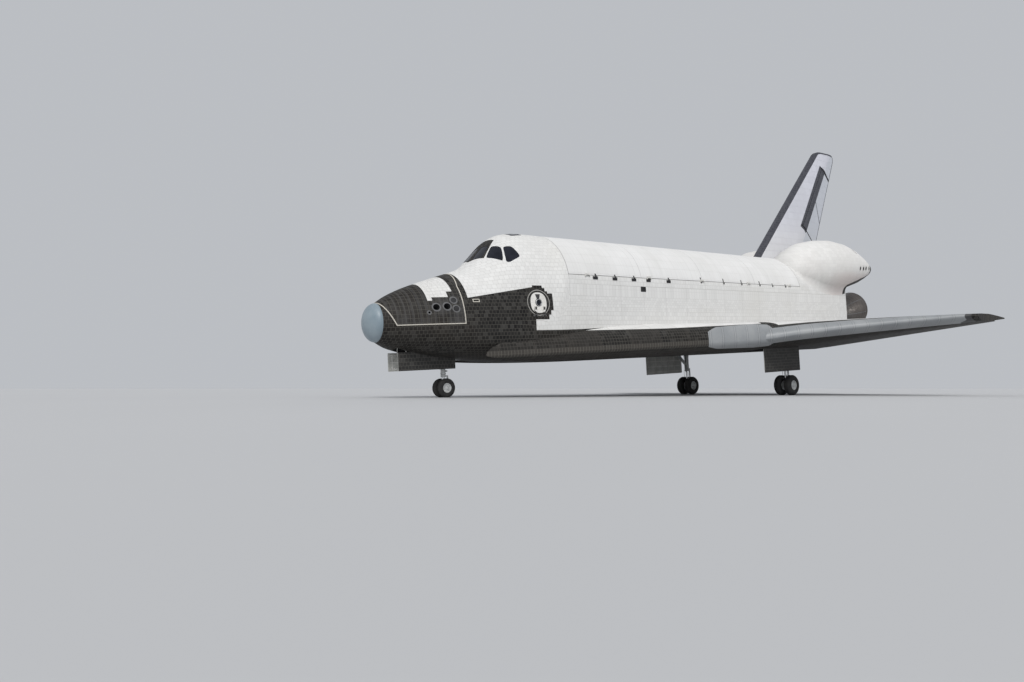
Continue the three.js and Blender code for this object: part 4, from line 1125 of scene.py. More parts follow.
# Windows: lower front, upper front, upper rear and lower rear corners, as station and degrees
WINDOWS = {
    "windshield_front": [(440, 87), (463, 87.5), (465, 77.5), (446, 73)],
    "windshield_middle": [(448.5, 66.8), (466.5, 73), (474.5, 61.8), (465, 48)],
    "windshield_side": [(469.5, 45.6), (477.3, 60.3), (489.5, 56.2), (496, 43.8), (475, 43.2)],
    "overhead_window": [(508, 85), (532, 85), (532, 72), (508, 72)],
}


def window_cutter(corners, grow, side, slot=0):
    """Cuts through the skin within a window's rounded outline."""
    ring = np.array(corners, float)
    for share in (0.12, 0.25, 0.25):
        after = np.roll(ring, -1, axis=0)
        ring = np.stack([ring + (after - ring) * share, after - (after - ring) * share], axis=1)
        ring = ring.reshape(-1, 2)
    middle = np.mean(corners, axis=0)
    ring = middle + (ring - middle) * grow
    rings = []
    for outside in (-30, 4):
        points = np.array([skin(y, math.radians(a), outside) for y, a in ring])
        points[:, 0] *= side
        rings.append(points)
    return cutter(lofted(rings), slot)


def hatch_disc(radius):
    """A cutter for the hatch, narrower towards the inside."""
    x = skin(HATCH["station"], 0)[0]
    start, end = ((x + shift, HATCH["station"], HATCH["z"]) for shift in (-14, 14))
    return cutter(spun([(radius - 2.6, 0), (radius + 2.6, 28)], start, end, 72), 1)


def surface_point(station, z):
    """The port skin's point and outward direction at a waterline."""
    angles = np.linspace(-1.5, 1.55, 600)
    points = section(station, angles)
    i = int(np.argmin(np.abs(points[:, 2] - z)))
    tangent = points[min(i + 1, 599)] - points[max(i - 1, 0)]
    ahead = section(station + 4, angles)[i] - section(station - 4, angles)[i]
    out = unit(np.cross(tangent, ahead))
    return points[i], out if out[0] > 0 else -out


def module_cutter(gap):
    (y0, z0), (y1, z1), (y2, z2) = MODULE
    outline = [(y0 - gap, z0 - gap), (y1 - gap, z1 - gap), (y2 + gap, z2 - gap), (y2 + gap, 395),
               (385 + gap, 422), (385 + gap, 450), (y0 - gap, 450)]
    return cutter(prism(outline, "x", -110, 110), 1)


def nose_cap():
    depth = NOSE_CAP_END - GAP - NOSE_TIP
    middle = column(NOSE_CAP_END, 3)
    angles = even_angles(NOSE_CAP_END)
    rings = []
    for share in 1 - np.cos(np.linspace(0.06, math.pi / 2, 22)):
        size = math.sqrt(1 - (1 - share) ** 2)
        ring = section(NOSE_CAP_END, angles)
        ring[:, 0] *= size
        ring[:, 2] = middle + (ring[:, 2] - middle) * size
        ring[:, 1] = NOSE_TIP + depth * (0.03 + 0.97 * share)
        rings.append(ring)
    piece("nose_dome", lofted(rings), "nose", node="nose_cap")


def forward_skin():
    """The forward fuselage, cut for the thruster module, gear well, cabin, windows and hatch."""
    body = built("forward_skin", hull(NOSE_CAP_END, FORWARD_END - GAP, 6),
                 ["hull", "dark", "cabin", "primer"])
    wall, floor_z = 7, 300
    cabin = []
    for y in (428, 446, 466, 488, 510, 540, 568):
        ring = section(y, even_angles(y, 60), -wall)
        ring[:, 2] = np.maximum(ring[:, 2], floor_z)
        cabin.append(ring)
    half, (low, high), roof = NOSE_WELL
    well = prism([(-half, low), (half, low), (half, high), (-half, high)], "z", 200, roof)
    cuts = [module_cutter(GAP), cutter(well, 3), cutter(lofted(cabin), 2)]
    for corners in WINDOWS.values():
        for sign in (1, -1):
            cuts.append(window_cutter(corners, 1.06, sign, 1))
    cuts.append(hatch_disc(HATCH["radius"] + RUNNING_GAP))
    mapped(shade(carve(body, cuts)), girth)
    rides(body, "orbiter", "forward_fuselage")


def thruster_module():
    module = built("thruster_module_skin", hull(NOSE_CAP_END, 400, 5), ["module", "dark", "grey"])
    carve(module, [module_cutter(0)], "INTERSECT")
    cuts = []
    for sign in (1, -1):
        mirror = (sign, 1, 1)
        for station, z, radius, deep in THRUSTERS:
            here, out = surface_point(station, z)
            throat = [(radius * 0.45, 0), (radius * 0.6, deep * 0.3)]
            mouth = [(radius, deep), (radius * 1.05, deep + 3)]
            inside, outside = (here - out * deep) * mirror, (here + out * 3) * mirror
            cuts.append(cutter(spun(throat + mouth, inside, outside, 32), 1))
        for station, z, radius in RECESSES:
            here, out = surface_point(station, z)
            inside, outside = (here - out * 0.5) * mirror, (here + out * 3) * mirror
            cuts.append(cutter(spun([(radius, 0), (radius, 3.5)], inside, outside, 32), 2))
    mapped(shade(carve(module, cuts)), girth)
    rides(module, "orbiter", "forward_thruster_module")


def panes():
    """Window glass, cut from a thin shell just inside the skin."""
    shell = built("pane_shell", hull(436, 540, 4, -0.5), "glass")
    carve(shell, [cutter(hull(430, 546, 4, -1.7))])
    for name, corners in WINDOWS.items():
        for side, sign in SIDES:
            pane = copied(shell, f"{name}_{side}_pane")
            carve(pane, [window_cutter(corners, 1.0592, sign)], "INTERSECT")
            one_finish(pane, "glass")
            rides(shade(pane), "orbiter", f"{name}_{side}")
    bpy.data.objects.remove(shell)


def crew_hatch():
    station, z, radius = HATCH["station"], HATCH["z"], HATCH["radius"]
    x = skin(station, 0)[0]
    plug = built("hatch_panel", hull(station - 34, station + 34, 3, count=240),
                 ["hatch", "steel", "dark"])
    carve(plug, [hatch_disc(radius)], "INTERSECT")
    slab = block((x - 7, x + 9), (station - 30, station + 30), (z - 54, z + 46), 0.01)
    carve(plug, [cutter(slab, 1)], "INTERSECT")
    recess = spun([(4.6, 0), (5.2, 4)], (x - 1.4, station, z), (x + 5, station, z), 48)
    carve(plug, [cutter(recess, 2)])
    rides(shade(plug), "crew_hatch", "crew_hatch")

    inside, outside = (x - 3.0, station, z), (x + 3, station, z)
    pane = spun([(4.55, 0), (4.6, 1.4), (4.1, 1.9)], inside, outside, 48)
    piece("hatch_window", pane, "glass", "crew_hatch")
    outline = [(4.7, 1.0), (6.3, 1.0), (6.4, 2.6), (6.0, 2.9), (5.1, 2.9), (4.7, 2.5)]
    rim_parts = [spun(outline, inside, outside, 48, closed=True)]
    for k in range(12):
        angle = k * math.pi / 6
        by, bz = station + 5.7 * math.cos(angle), z + 5.7 * math.sin(angle)
        rim_parts.append(rod((x - 0.4, by, bz), (x + 0.15, by, bz), 0.28, sides=8))
    piece("hatch_window_rim", joined(*rim_parts), "steel", "crew_hatch")

    hinge_z = z - radius - 0.9
    hinge_x = skin(station + 12, 0)[0] + 0.8
    inner, outer = hinge_x - 4, hinge_x + 0.6
    straps = []
    ears = []
    for y in (station - 9, station + 9):
        low, high = y - 2.5, y + 2.5
        ears.append(rod((hinge_x, low - 0.1, hinge_z), (hinge_x, high + 0.1, hinge_z), 0.6, sides=16))
        for start in (low - 1.2, high):
            ears.append(block((inner, outer), (start, start + 1.2), (hinge_z - 2.6, hinge_z + 0.6)))
        width = (low + 0.3, high - 0.3)
        straps.append(block((hinge_x - 0.5, outer), width, (hinge_z + 0.6 + GAP, hinge_z + 14), 0.2))
        straps.append(block((inner, outer), width, (hinge_z + 8.5, hinge_z + 14)))
        for bolt_z in (hinge_z + 10.0, hinge_z + 12.4):
            for bolt_y in (y - 1.2, y + 1.2):
                foot, head = ((hinge_x + out, bolt_y, bolt_z) for out in (0.5, 0.85))
                straps.append(rod(foot, head, 0.35, sides=8))
    piece("hatch_straps", joined(*straps), "hatch", "crew_hatch")
    piece("hatch_ears", joined(*ears), "grey")


# Payload bay and its doors
DOOR_HINGE = (106, 417)  # x and waterline of the pins
DOOR_HINGE_STATIONS = [620, 780, 940, 1100, 1260]


def hinge_parts(y):
    """A pin in two ears for the body, and a lug for the door."""
    x, z = DOOR_HINGE
    pin, ear, half = 0.6, 1.2, 4.5
    body = [rod((x, y - half - 0.1, z), (x, y + half + 0.1, z), pin, sides=16)]
    for start in (y - half - ear, y + half):
        body.append(block((x - 8, x - 1.0), (start, start + ear), (z - 2.6, z - pin), 0.1))
        body.append(block((x - 1.2, x + pin), (start, start + ear), (z - 2.6, z + pin), 0.3))
    lug = block((x - 5, x + 0.4), (y - half + 0.3, y + half - 0.3), (z + pin + GAP, z + 3.2), 0.2)
    return body, lug


def arch_ring(station, outside_low, outside_high, low_z, low_x, count=44):
    """The doors' section between two offsets from the skin, port side, from the sill to the crown."""
    ring = []
    waist = column(station, 3)
    for outside, order in ((outside_high, 1), (outside_low, -1)):
        height = column(station, 4) - waist + outside
        start = math.asin(min(1, (low_z - waist) / height))
        end = math.acos(low_x / (HALF_WIDTH + outside))
        ring.append(section(station, np.linspace(start, end, count), outside)[::order])
    return np.concatenate(ring)


def mid_fuselage():
    body = built("mid_skin", hull(FORWARD_END, MID_END - GAP, 60), ["hull", "liner", "steel"])
    bore = spun([(BAY_RADIUS, 0), (BAY_RADIUS, 900)], (0, 500, BAY_AXIS), (0, 1400, BAY_AXIS), 96)
    roof = block((-150, 150), (500, 1400), (SILL, 600), 0.01)
    mouth = block((-BAY_RADIUS, BAY_RADIUS), (500, 1400), (BAY_AXIS, 600), 0.01)
    mapped(shade(carve(body, [cutter(bore, 1), cutter(roof, 2), cutter(mouth, 1)])), girth)
    rides(body, "orbiter", "mid_fuselage")

    parts = []
    outer, inner = BAY_RADIUS + 0.3, BAY_RADIUS - 2.4
    for k in range(14):
        y = 577.5 + 56.0 * k
        rings = []
        for a in np.linspace(math.pi, 2 * math.pi, 49):
            corners = ((outer, y), (inner, y), (inner, y + 3), (outer, y + 3))
            rings.append([(r * math.cos(a), at, BAY_AXIS + r * math.sin(a)) for r, at in corners])
        parts.append(lofted(rings))
    for x in (-70, -52, 52, 70):
        z = BAY_AXIS - math.sqrt((BAY_RADIUS - 1.6) ** 2 - x * x)
        parts.append(block((x - 2.2, x + 2.2), (580, 1303), (z - 1.5, z + 1.3), 0.2))
    for sign in (-1, 1):
        x = sign * (BAY_RADIUS + 0.2)
        parts.append(block(sorted((x, x - sign * 2)), (579, 1304), (408, 413), 0.3))
        parts.append(tube([(sign * 90, 582, 388), (sign * 90, 1300, 388)], 0.9))
        parts.append(tube([(sign * 89.6, 582, 384.5), (sign * 89.6, 1300, 384.5)], 0.5))
    piece("bay_frames", joined(*parts), "primer")


def bay_door(side, sign):
    """A door with its skin, hinges, radiator, ribs and coolant pipes."""
    body = f"bay_door_{side}"
    pins = []
    lugs = []
    for y in DOOR_HINGE_STATIONS:
        body_parts, lug = hinge_parts(y)
        pins += body_parts
        lugs.append(lug)
    piece(f"door_hinges_{side}", joined(*pins), "white_paint", sign=sign)

    ends = [FORWARD_END + 0.5, MID_END - 0.5 - GAP]
    levels = [ends[0], 600, 640, 700, 800, 900, 1000, 1100, 1200, 1260, ends[1]]
    rings = [arch_ring(y, -5.0, 0.0, SILL + 0.8, 0.15) for y in levels]
    shape = lofted(rings)
    size = len(rings[0])
    slots = []
    for face in shape[1]:
        inside = len(face) == 4 and size // 2 <= min(face) % size < size - 1
        slots.append(1 if inside else 0)
    lug_shape = joined(*lugs)
    slots += [2] * len(lug_shape[1])
    finishes = ["doors", "grey", "white_paint"]
    door = piece(f"door_{side}", joined(shape, lug_shape), finishes, body, body, sign, slots)
    mapped(door, girth)

    shape = lofted([arch_ring(y, -6.6, -5.0 - GAP, SILL + 5, 4.0) for y in np.linspace(590, 1060, 9)])
    piece(f"radiator_panel_{side}", shape, "radiator", body, f"radiator_{side}", sign)

    parts = []
    for y in (1075, 1110, 1145, 1180, 1215, 1250, 1285):
        parts.append(lofted([arch_ring(level, -7.0, -4.9, SILL + 5, 4.0, 30) for level in (y, y + 2.5)]))
    for y in (589.0, 1061.5):
        parts.append(tube(arch_ring(y, -6.4, -6.3, SILL + 6, 5.0, 24)[:24], 0.6, 8))
    piece(f"door_ribs_{side}", joined(*parts), "primer", body, sign=sign)


# Tail. Engines: the place of the block's front, pitch and yaw
ENGINES = {
    "main_engine_top": ((0, 1445, 443), 16, 0),
    "main_engine_left": ((53, 1468, 342.6), 10, 3.5),
    "main_engine_right": ((-53, 1468, 342.6), 10, -3.5),
}
MAIN_BELL = (22, 62, 45.35, 157, 1.6)  # radius and end of the block, mouth, length and wall
POD_BELL = (15, 26, 22, 60, 1.0)
FLAP_HINGE = (1530, 288)


def engine_axis(pitch, yaw):
    p, q = math.radians(pitch), math.radians(yaw)
    return np.array([math.sin(q) * math.cos(p), math.cos(q) * math.cos(p), math.sin(p)])


def top_engine_room(radius, sides):
    place, pitch, yaw = ENGINES["main_engine_top"]
    return spun([(radius, 40), (radius, 200)], place, np.array(place) + engine_axis(pitch, yaw), sides)


def nozzle(name, place, axis, sizes, bands, node, tubes):
    """A block and an open bell with hoops at the bands, pipes along it and a ring pipe."""
    block_radius, block_end, mouth, length, wall = sizes
    place = np.array(place, float)
    span = length - block_end
    throat = block_radius * 0.62

    def radius(share):
        return throat + (mouth - throat) * math.sin(share * math.pi / 2) ** 0.9

    outline = [(block_radius * r, along) for r, along in (
        (0.5, 0), (0.93, 0.6), (0.98, 3.0), (0.98, block_end * 0.5), (0.8, block_end * 0.55),
        (0.8, block_end * 0.88), (0.5, block_end * 0.93),
    )]
    for share in np.linspace(0.04, 1, 90):
        lift = wall * 0.32 if any(abs(share - band) * span < 0.9 for band in bands) else 0.0
        outline.append((radius(share) - wall * 0.34 + lift, block_end + span * share))
    outline.append((radius(1), length))
    for share in np.linspace(0, 1, 40)[::-1]:
        outline.append((max(radius(share) - wall, 0.5), block_end + wall + (span - wall) * share))
    outline.append((0.4, block_end + wall))
    one, two = square_to(axis, Z)

    def rule(points):
        local = points - place
        return np.stack([local @ axis / length, np.arctan2(local @ two, local @ one)], axis=1)

    bell = spun(outline, place, place + axis, 96)
    mapped(piece(name, bell, "engine", node=node, smooth=40), rule)
    parts = []
    for angle in tubes:
        direction = math.cos(angle) * one + math.sin(angle) * two
        path = []
        for share in (0.12, 0.25, 0.4, 0.6, 0.8, 0.93):
            path.append(place + axis * (block_end + span * share) + direction * (radius(share) - wall * 0.1))
        parts.append(tube(eased(path, 4), wall * 0.32, 8))
    ring = []
    for angle in np.linspace(0, 2 * math.pi, 49):
        direction = math.cos(angle) * one + math.sin(angle) * two
        ring.append(place + axis * (block_end + span * 0.07) + direction * (radius(0.07) + wall * 0.9))
    parts.append(tube(ring, wall * 1.1, 10))
    piece(f"{name}_lines", joined(*parts), "steel")


def aft_fuselage():
    body = built("aft_skin", hull(MID_END, AFT_END, 14), ["hull", "shield", "dark"])
    for face in body.data.polygons:
        if len(face.vertices) > 10 and face.normal.y > 0:  # the aft end
            face.material_index = 1
    y, z = FLAP_HINGE
    cuts = [cutter(spun([(8.9, 0), (8.9, 260)], (-130, y, z), (130, y, z), 48), 2)]
    for place, pitch, yaw in ENGINES.values():
        outline = [(22.3, -0.1), (22.3, 57), (27, 64), (27, 90)]
        cuts.append(cutter(spun(outline, place, place + engine_axis(pitch, yaw), 64), 2))
    mapped(shade(carve(body, cuts)), girth)
    rides(body, "orbiter", "aft_fuselage")

    for name, (place, pitch, yaw) in ENGINES.items():
        axis = engine_axis(pitch, yaw)
        end = place + axis
        outline = [(43.4, 30), (44, 31), (44, 43.5)]
        for k in range(1, 13):
            angle = k * math.pi / 2 * 0.86 / 12
            outline.append((44 * math.cos(angle), 44 + 32 * math.sin(angle)))
        shield = built(f"{name}_shield", spun(outline, place, end, 96), ["shield", "dark"])
        carve(shield, [cutter(block((-104, 104), (1498, 1560), (289, 495), 0.01))], "INTERSECT")
        room = [(22.3, 0), (22.3, 57), (27.2, 63), (27.2, 90)]
        carve(shield, [cutter(spun(room, place, end, 64), 1)])
        rides(shade(shield, 40), "orbiter", None)
        one, two = square_to(axis, Z)
        hoop = [place + axis * 70.5 + 27.6 * (math.cos(a) * one + math.sin(a) * two)
                for a in np.linspace(0, 2 * math.pi, 65)]
        mapped(piece(f"{name}_seal", tube(hoop, 1.3), "blanket"), lambda at: at[:, [1, 2]])
        bands = [0.16, 0.25, 0.34, 0.43, 0.52, 0.61, 0.70, 0.79, 0.88, 0.96]
        nozzle(name + "_bell", place, axis, MAIN_BELL, bands, name, np.arange(8) * math.pi / 4 + 0.2)

    bracket = [(1478, 312), (1498, 285), (1534, 285), (1534, 291), (1513, 318), (1478, 322)]
    plates = [prism(bracket, "x", low, low + 1.5) for low in (102.75, -104.25)]
    piece("flap_brackets", joined(*plates), "shield")


def body_flap():
    hinge, level = FLAP_HINGE
    radius, chord = 8.5, 83
    outline = []
    for k in range(25):
        angle = math.pi / 2 + math.pi * k / 24
        outline.append((hinge + radius * math.cos(angle), level + radius * math.sin(angle)))
    for share in (0.25, 0.5, 0.75, 0.97):
        outline.append((hinge + chord * share, level - radius + 7.3 * share))
    outline += [(1612.8, 286.9), (1613, 288), (1612.8, 289.1)]
    for share in (0.97, 0.75, 0.5, 0.25):
        outline.append((hinge + chord * share, level + radius - 7.3 * share))
    rings = [[(x, y, z) for y, z in outline] for x in np.linspace(-102, 102, 9)]
    pin = cross_rod(0, 102.7, hinge, level, 2.2)
    piece("flap_skin", joined(lofted(rings), pin), "flap", "body_flap", "body_flap")


# Wing
HINGE_LINE, ROOT = 1387, HALF_WIDTH
DIHEDRAL = math.radians(4.5)
# Columns: x, height of the upper surface over the hinge plane, depth of the lower one, rise of the edge
WING_SECTIONS = np.array([
    (90, 47, 15.5, 0), (105, 47, 15.5, 0), (130, 44, 15.2, 0.5), (160, 41, 14.6, 1.5),
    (188, 38.5, 14, 3), (230, 34.5, 12.8, 6), (300, 27, 10.8, 8), (380, 19, 8.6, 8),
    (438, 13, 7, 7), (468, 9, 5, 6),
], float)
PEAK = 0.36  # where along the chord the wing is thickest
EDGE = 1.1  # half the thickness of the trailing edge
ELEVONS = {"elevon_inboard": (8.5, 206), "elevon_outboard": (208, 329)}
EDGE_STRIP = [(172, 866), (160, 876), (158, 905), (171, 1005), (181, 1042), (197, 1058), (300, 1166),
              (459, 1320), (459, 1270)]
WING_FINISHES = ["wing", "primer", "dark", "carbon"]


def hinge_radius(along):
    return 14 - 0.0215 * along


def trailing_edge(x):
    return 1525 - 0.17733 * x


def wing_ring(row, rear, rear_half):
    """The wing's section at a row of its table, out to a rear edge and its half thickness."""
    x, upper, lower, rise = row
    turn, station = OUTER_START
    front = station + (x - turn)
    if x < turn:
        front = GLOVE_FRONT + (x - HALF_WIDTH) * (station - GLOVE_FRONT) / (turn - HALF_WIDTH)
    shares = np.linspace(0, 1, 34) ** 2.2
    plane = HINGE_Z + (x - ROOT) * math.tan(DIHEDRAL)
    middle = plane + rise * np.maximum(0, 1 - shares / PEAK) ** 2
    back = np.clip((shares - PEAK) / (1 - PEAK), 0, 1)

    def side(peak, sign):
        ahead = peak * np.sqrt(np.clip(1 - (1 - np.minimum(shares, PEAK) / PEAK) ** 2, 0, 1))
        behind = peak + (rear_half - peak) * back ** 1.25
        height = middle + sign * np.where(shares <= PEAK, ahead, behind)
        return np.stack([np.full_like(shares, x), front + (rear - front) * shares, height], 1)

    return np.concatenate([side(upper, 1)[::-1], side(lower, -1)[1:]])


def on_hinge(along, y=0.0, z=0.0):
    c, s = math.cos(DIHEDRAL), math.sin(DIHEDRAL)
    return np.array([ROOT + along * c - z * s, HINGE_LINE + y, HINGE_Z + along * s + z * c])


def hinge_box(corners_at):
    """A shape between places along the hinge, each with its corners ahead of, over and under it."""
    return lofted([[on_hinge(along, y, z) for y, z in corners] for along, corners in corners_at])


def wing_rows():
    rows = []
    for low, high in zip(WING_SECTIONS[:-1], WING_SECTIONS[1:]):
        steps = max(1, int((high[0] - low[0]) // 18))
        rows += [low + (high - low) * k / steps for k in range(steps)]
    return [*rows, WING_SECTIONS[-1]]


def edge_prism(grow):
    outline = []
    ends = len(EDGE_STRIP) - 2  # the last two points are the strip's outer end
    for i, (x, y) in enumerate(EDGE_STRIP):
        shift = 0 if i < 1 else -grow if i < ends else grow
        outline.append((x + shift, y + (-grow if i < 2 or i > ends else grow)))
    return prism([*outline, (430, 1180), (200, 860)], "z", 200, 420)


def rectangle(y0, y1, half):
    return [(y0, -half), (y1, -half), (y1, half), (y0, half)]


def wing(side, sign):
    start, end = -30, ELEVONS["elevon_outboard"][1] + 0.75
    rings = [wing_ring(row, HINGE_LINE, hinge_radius(row[0] - ROOT)) for row in wing_rows()]
    tip_rings = [wing_ring(row, trailing_edge(row[0]), EDGE) for row in wing_rows() if row[0] >= 437]
    behind = hinge_box([(along, rectangle(-0.42 * hinge_radius(along), 80, 60)) for along in (start, end)])
    cove = spun([(hinge_radius(start) + RUNNING_GAP, 0), (hinge_radius(end) + RUNNING_GAP, end - start)],
                on_hinge(start), on_hinge(end), 64)
    fixed = built(f"wing_skin_{side}", lofted(rings), WING_FINISHES)
    carve(fixed, [cutter(cove, 2), cutter(behind, 2)])
    tip = built("wing_tip", lofted(tip_rings), WING_FINISHES)
    outboard = hinge_box([(along, rectangle(-100, 100, 30)) for along in (end, end + 60)])
    carve(tip, [cutter(outboard)], "INTERSECT")
    carve(fixed, [tip], "UNION")
    edge = copied(fixed, f"carbon_edge_{side}")
    carve(edge, [cutter(edge_prism(0), 3)], "INTERSECT")
    sides, stations, roof = MAIN_WELL
    well = block(sides, stations, (200, roof), 0.01)
    carve(fixed, [cutter(edge_prism(GAP), 2), cutter(well, 1)])
    one_finish(edge, "carbon")
    for made in (fixed, edge):
        if sign < 0:
            flip(made)
        shade(made, 28)
    rides(fixed, "orbiter", f"wing_{side}")
    rides(edge, "orbiter", f"wing_leading_edge_{side}")
    ribs = []
    for along, half in ((7.25, 0.5), (207.0, 0.25)):
        ribs.append(hinge_box([(at, rectangle(-21, 3, 3)) for at in (along - half, along + half)]))
    piece(f"hinge_ribs_{side}", joined(*ribs), "grey", sign=sign)

    for name, (start, stop) in ELEVONS.items():
        rings = []
        for along in np.linspace(start, stop, 8):
            r = hinge_radius(along)
            chord = trailing_edge(ROOT + along) - HINGE_LINE
            ring = [(r * math.cos(a), r * math.sin(a)) for a in np.linspace(math.pi / 2, 1.5 * math.pi, 25)]
            rear = [(chord * share, r - (r - EDGE) * share) for share in (0.985, 0.8, 0.6, 0.4, 0.2)]
            ring += [(y, -z) for y, z in rear[::-1]]
            ring += [(chord, -EDGE * 0.5), (chord, EDGE * 0.5), *rear]
            rings.append((along, ring))
        pin = rod(on_hinge(start - 0.73), on_hinge(stop + 0.73), 2.5)
        shape = joined(hinge_box(rings), pin)
        elevon = f"{name}_{side}"
        piece(f"{name}_skin_{side}", shape, "elevon", elevon, elevon, sign)


# Fin and rudder
RUDDER_SWEEP = math.radians(34.83)
SHAFT = 0.72  # the shaft's share of the rudder's radius
FIN_PROFILE = [  # share of the way from the leading edge to the hinge, and share of the thickness
    (0, 0), (0.002, 0.06), (0.006, 0.1), (0.015, 0.15), (0.03, 0.2), (0.06, 0.28), (0.12, 0.37),
    (0.3, 0.55), (0.5, 0.72), (0.75, 0.87), (1, 1),
]


def rudder_radius(along):
    return 14 - 0.0216 * along


def on_rudder(x, y, along):
    c, s = math.cos(RUDDER_SWEEP), math.sin(RUDDER_SWEEP)
    return np.array([x, RUDDER_HINGE + y * c + along * s, FIN_ROOT - y * s + along * c])


def fin_ring(z):
    up = z - FIN_ROOT
    front = FIN_FRONT + up
    rear = FIN_REAR + up * math.tan(math.radians(26.25))
    hinge = RUDDER_HINGE + up * math.tan(RUDDER_SWEEP)
    half = rudder_radius(up / math.cos(RUDDER_SWEEP))
    shares = [0, 0.002, 0.006, 0.015, 0.03, 0.06, 0.12, 0.2, 0.3, 0.4, 0.5, 0.62, 0.75, 0.88, 1]
    side = [(half * thick, front + (hinge - front) * share)
            for share, thick in zip(shares, np.interp(shares, *zip(*FIN_PROFILE)))]
    side += [(half + (1 - half) * share, hinge + (rear - hinge) * share) for share in (0.25, 0.5, 0.75)]
    side.append((1, rear))
    return [(x, y, z) for x, y in side] + [(-x, y, z) for x, y in side[:0:-1]]


def fin():
    levels = [470, 500, 540, 580, 620, 660, 700, 740, 770, 790, 803, 816]
    blade = built("fin_skin", lofted([fin_ring(z) for z in levels]), ["fin", "dark"])
    y, z, radius = FIN_CORNER
    round_tip = [(y + 95, z + radius + 14), (y - 130, z + radius + 14), (y - 130, z + radius - 30)]
    for angle in np.radians(np.linspace(135, 90, 16)):
        round_tip.append((y + radius * math.cos(angle), z + radius * math.sin(angle)))
    round_tip.append((y + 95, z + radius + 0.5))
    y, z, radius = FIN_REAR_CORNER
    rear_tip = [(1740, 830), (y, 830)]
    for angle in np.radians(np.linspace(90, -26.25, 14)):
        rear_tip.append((y + radius * math.cos(angle), z + radius * math.sin(angle)))
    rear_tip.append((1740, rear_tip[-1][1]))
    low, high = RUDDER_ENDS[0] - 0.75, RUDDER_ENDS[1] + 0.75
    notch = []
    for along in (low, high):
        lip = -0.86 * rudder_radius(along)
        notch.append([on_rudder(x, y, along) for x, y in ((-40, lip), (40, lip), (40, 150), (-40, 150))])
    cove = spun([(rudder_radius(low) + RUNNING_GAP, 0), (rudder_radius(high) + RUNNING_GAP, high - low)],
                on_rudder(0, 0, low), on_rudder(0, 0, high), 64)
    carve(blade, [
        cutter(prism(round_tip, "x", -40, 40)),
        cutter(prism(rear_tip, "x", -40, 40)),
        cutter(cove, 1),
        cutter(lofted(notch), 1),
        cutter(block((-40, 40), (1200, 1308), (400, 500.9), 0.01)),
        cutter(top_engine_room(50.35, 48), 1),
    ])
    rides(shade(blade), "orbiter", "vertical_fin")

    low, high = RUDDER_ENDS[0] - 0.74, RUDDER_ENDS[1] + 0.74
    outline = [(rudder_radius(along) * SHAFT, along - low) for along in np.linspace(low, high, 12)]
    shaft = spun(outline, on_rudder(0, 0, low), on_rudder(0, 0, high))
    piece("rudder_shaft_skin", shaft, "soot", "rudder_core", "rudder_shaft")

    rings = []
    for along in np.linspace(*RUDDER_ENDS, 9):
        r = rudder_radius(along)
        chord = 95.05 - 0.1508 * along
        bore = r * SHAFT + 0.03
        front = max(1, math.sqrt(bore ** 2 - 0.0625) + 0.02)
        ring = [(0.25, front), (0.25, chord), (0.55, chord), (1.0, chord - 0.4)]
        ring += [(r + (1 - r) * share, chord * share) for share in (0.75, 0.5, 0.25)]
        ring += [(r * math.cos(a), -r * math.sin(a)) for a in np.linspace(0, 0.6, 9)]
        ring += [(bore * math.cos(a), -bore * math.sin(a)) for a in np.linspace(0.62, 0.03 - math.pi / 2, 22)]
        rings.append([on_rudder(x, y, along) for x, y in ring])
    for side, sign in SIDES:
        node = f"rudder_panel_{side}"
        piece(f"rudder_skin_{side}", lofted(rings), "fin", node, node, sign, smooth=25)


# Manoeuvring pods. Columns: station, x and waterline of the middle, half width, half height
POD = np.array([
    (1309, 55, 466, 18, 18), (1316, 58, 465, 32, 33), (1330, 62, 467, 44, 46), (1365, 70, 472, 52, 58),
    (1410, 78, 474, 58, 64), (1455, 84, 475, 61, 65), (1495, 88, 475, 61, 60), (1525, 92, 473, 57, 52),
    (1548, 98, 469, 51, 41), (1563, 103, 467, 44, 32), (1574, 108, 465, 37, 23),
], float)
POD_ENGINE = (82, 1530, 488)


def pod_slot(station, level):
    """A tall oval nozzle mouth that looks out to the side and narrows inwards."""
    ring = circle(28, 3.1 * Y, 5.2 * Z)
    return lofted([(x, station, level) + ring * size for x, size in ((136, 0.55), (144, 0.85), (160, 1.12))])


def pod_section(y, angles):
    x, z, half, high = (np.interp(y, POD[:, 0], POD[:, k]) for k in range(1, 5))
    return np.stack([x + half * np.cos(angles), np.full(len(angles), y), z + high * np.sin(angles)], 1)


def point_along(path, distance):
    run = run_of(path)
    return np.array([np.interp(distance, run, path[:, k]) for k in range(3)])


def fairing_ring(y, start, end, reach):
    """A hollow curve at a station from the fuselage's skin to the pod's, and its back inside them.

    start and end are degrees round the pod, from its outside to where it is within the fuselage.
    """
    pod = pod_section(y, np.radians(np.linspace(start, end, 400)))
    half, waist, top, power = (column(y, k) for k in (1, 3, 4, 5))
    across, rise = np.abs(pod[:, 0]) / half, np.maximum(pod[:, 2] - waist, 0) / (top - waist)
    meet = int(np.argmax(across ** power + rise ** power < 1))
    corner = pod[meet]
    angle = math.atan2(rise[meet] ** (power / 2), across[meet] ** (power / 2))
    turn = math.radians(70 if end > start else -70)
    first = point_along(section(y, np.linspace(angle, angle + turn, 400)), reach)
    last = point_along(pod[meet::-1], reach)
    ring = [first * (1 - t) ** 2 + corner * 2 * t * (1 - t) + last * t * t for t in np.linspace(0, 1, 11)]
    return [*ring, corner + unit(corner - (first + last) / 2) * 4]


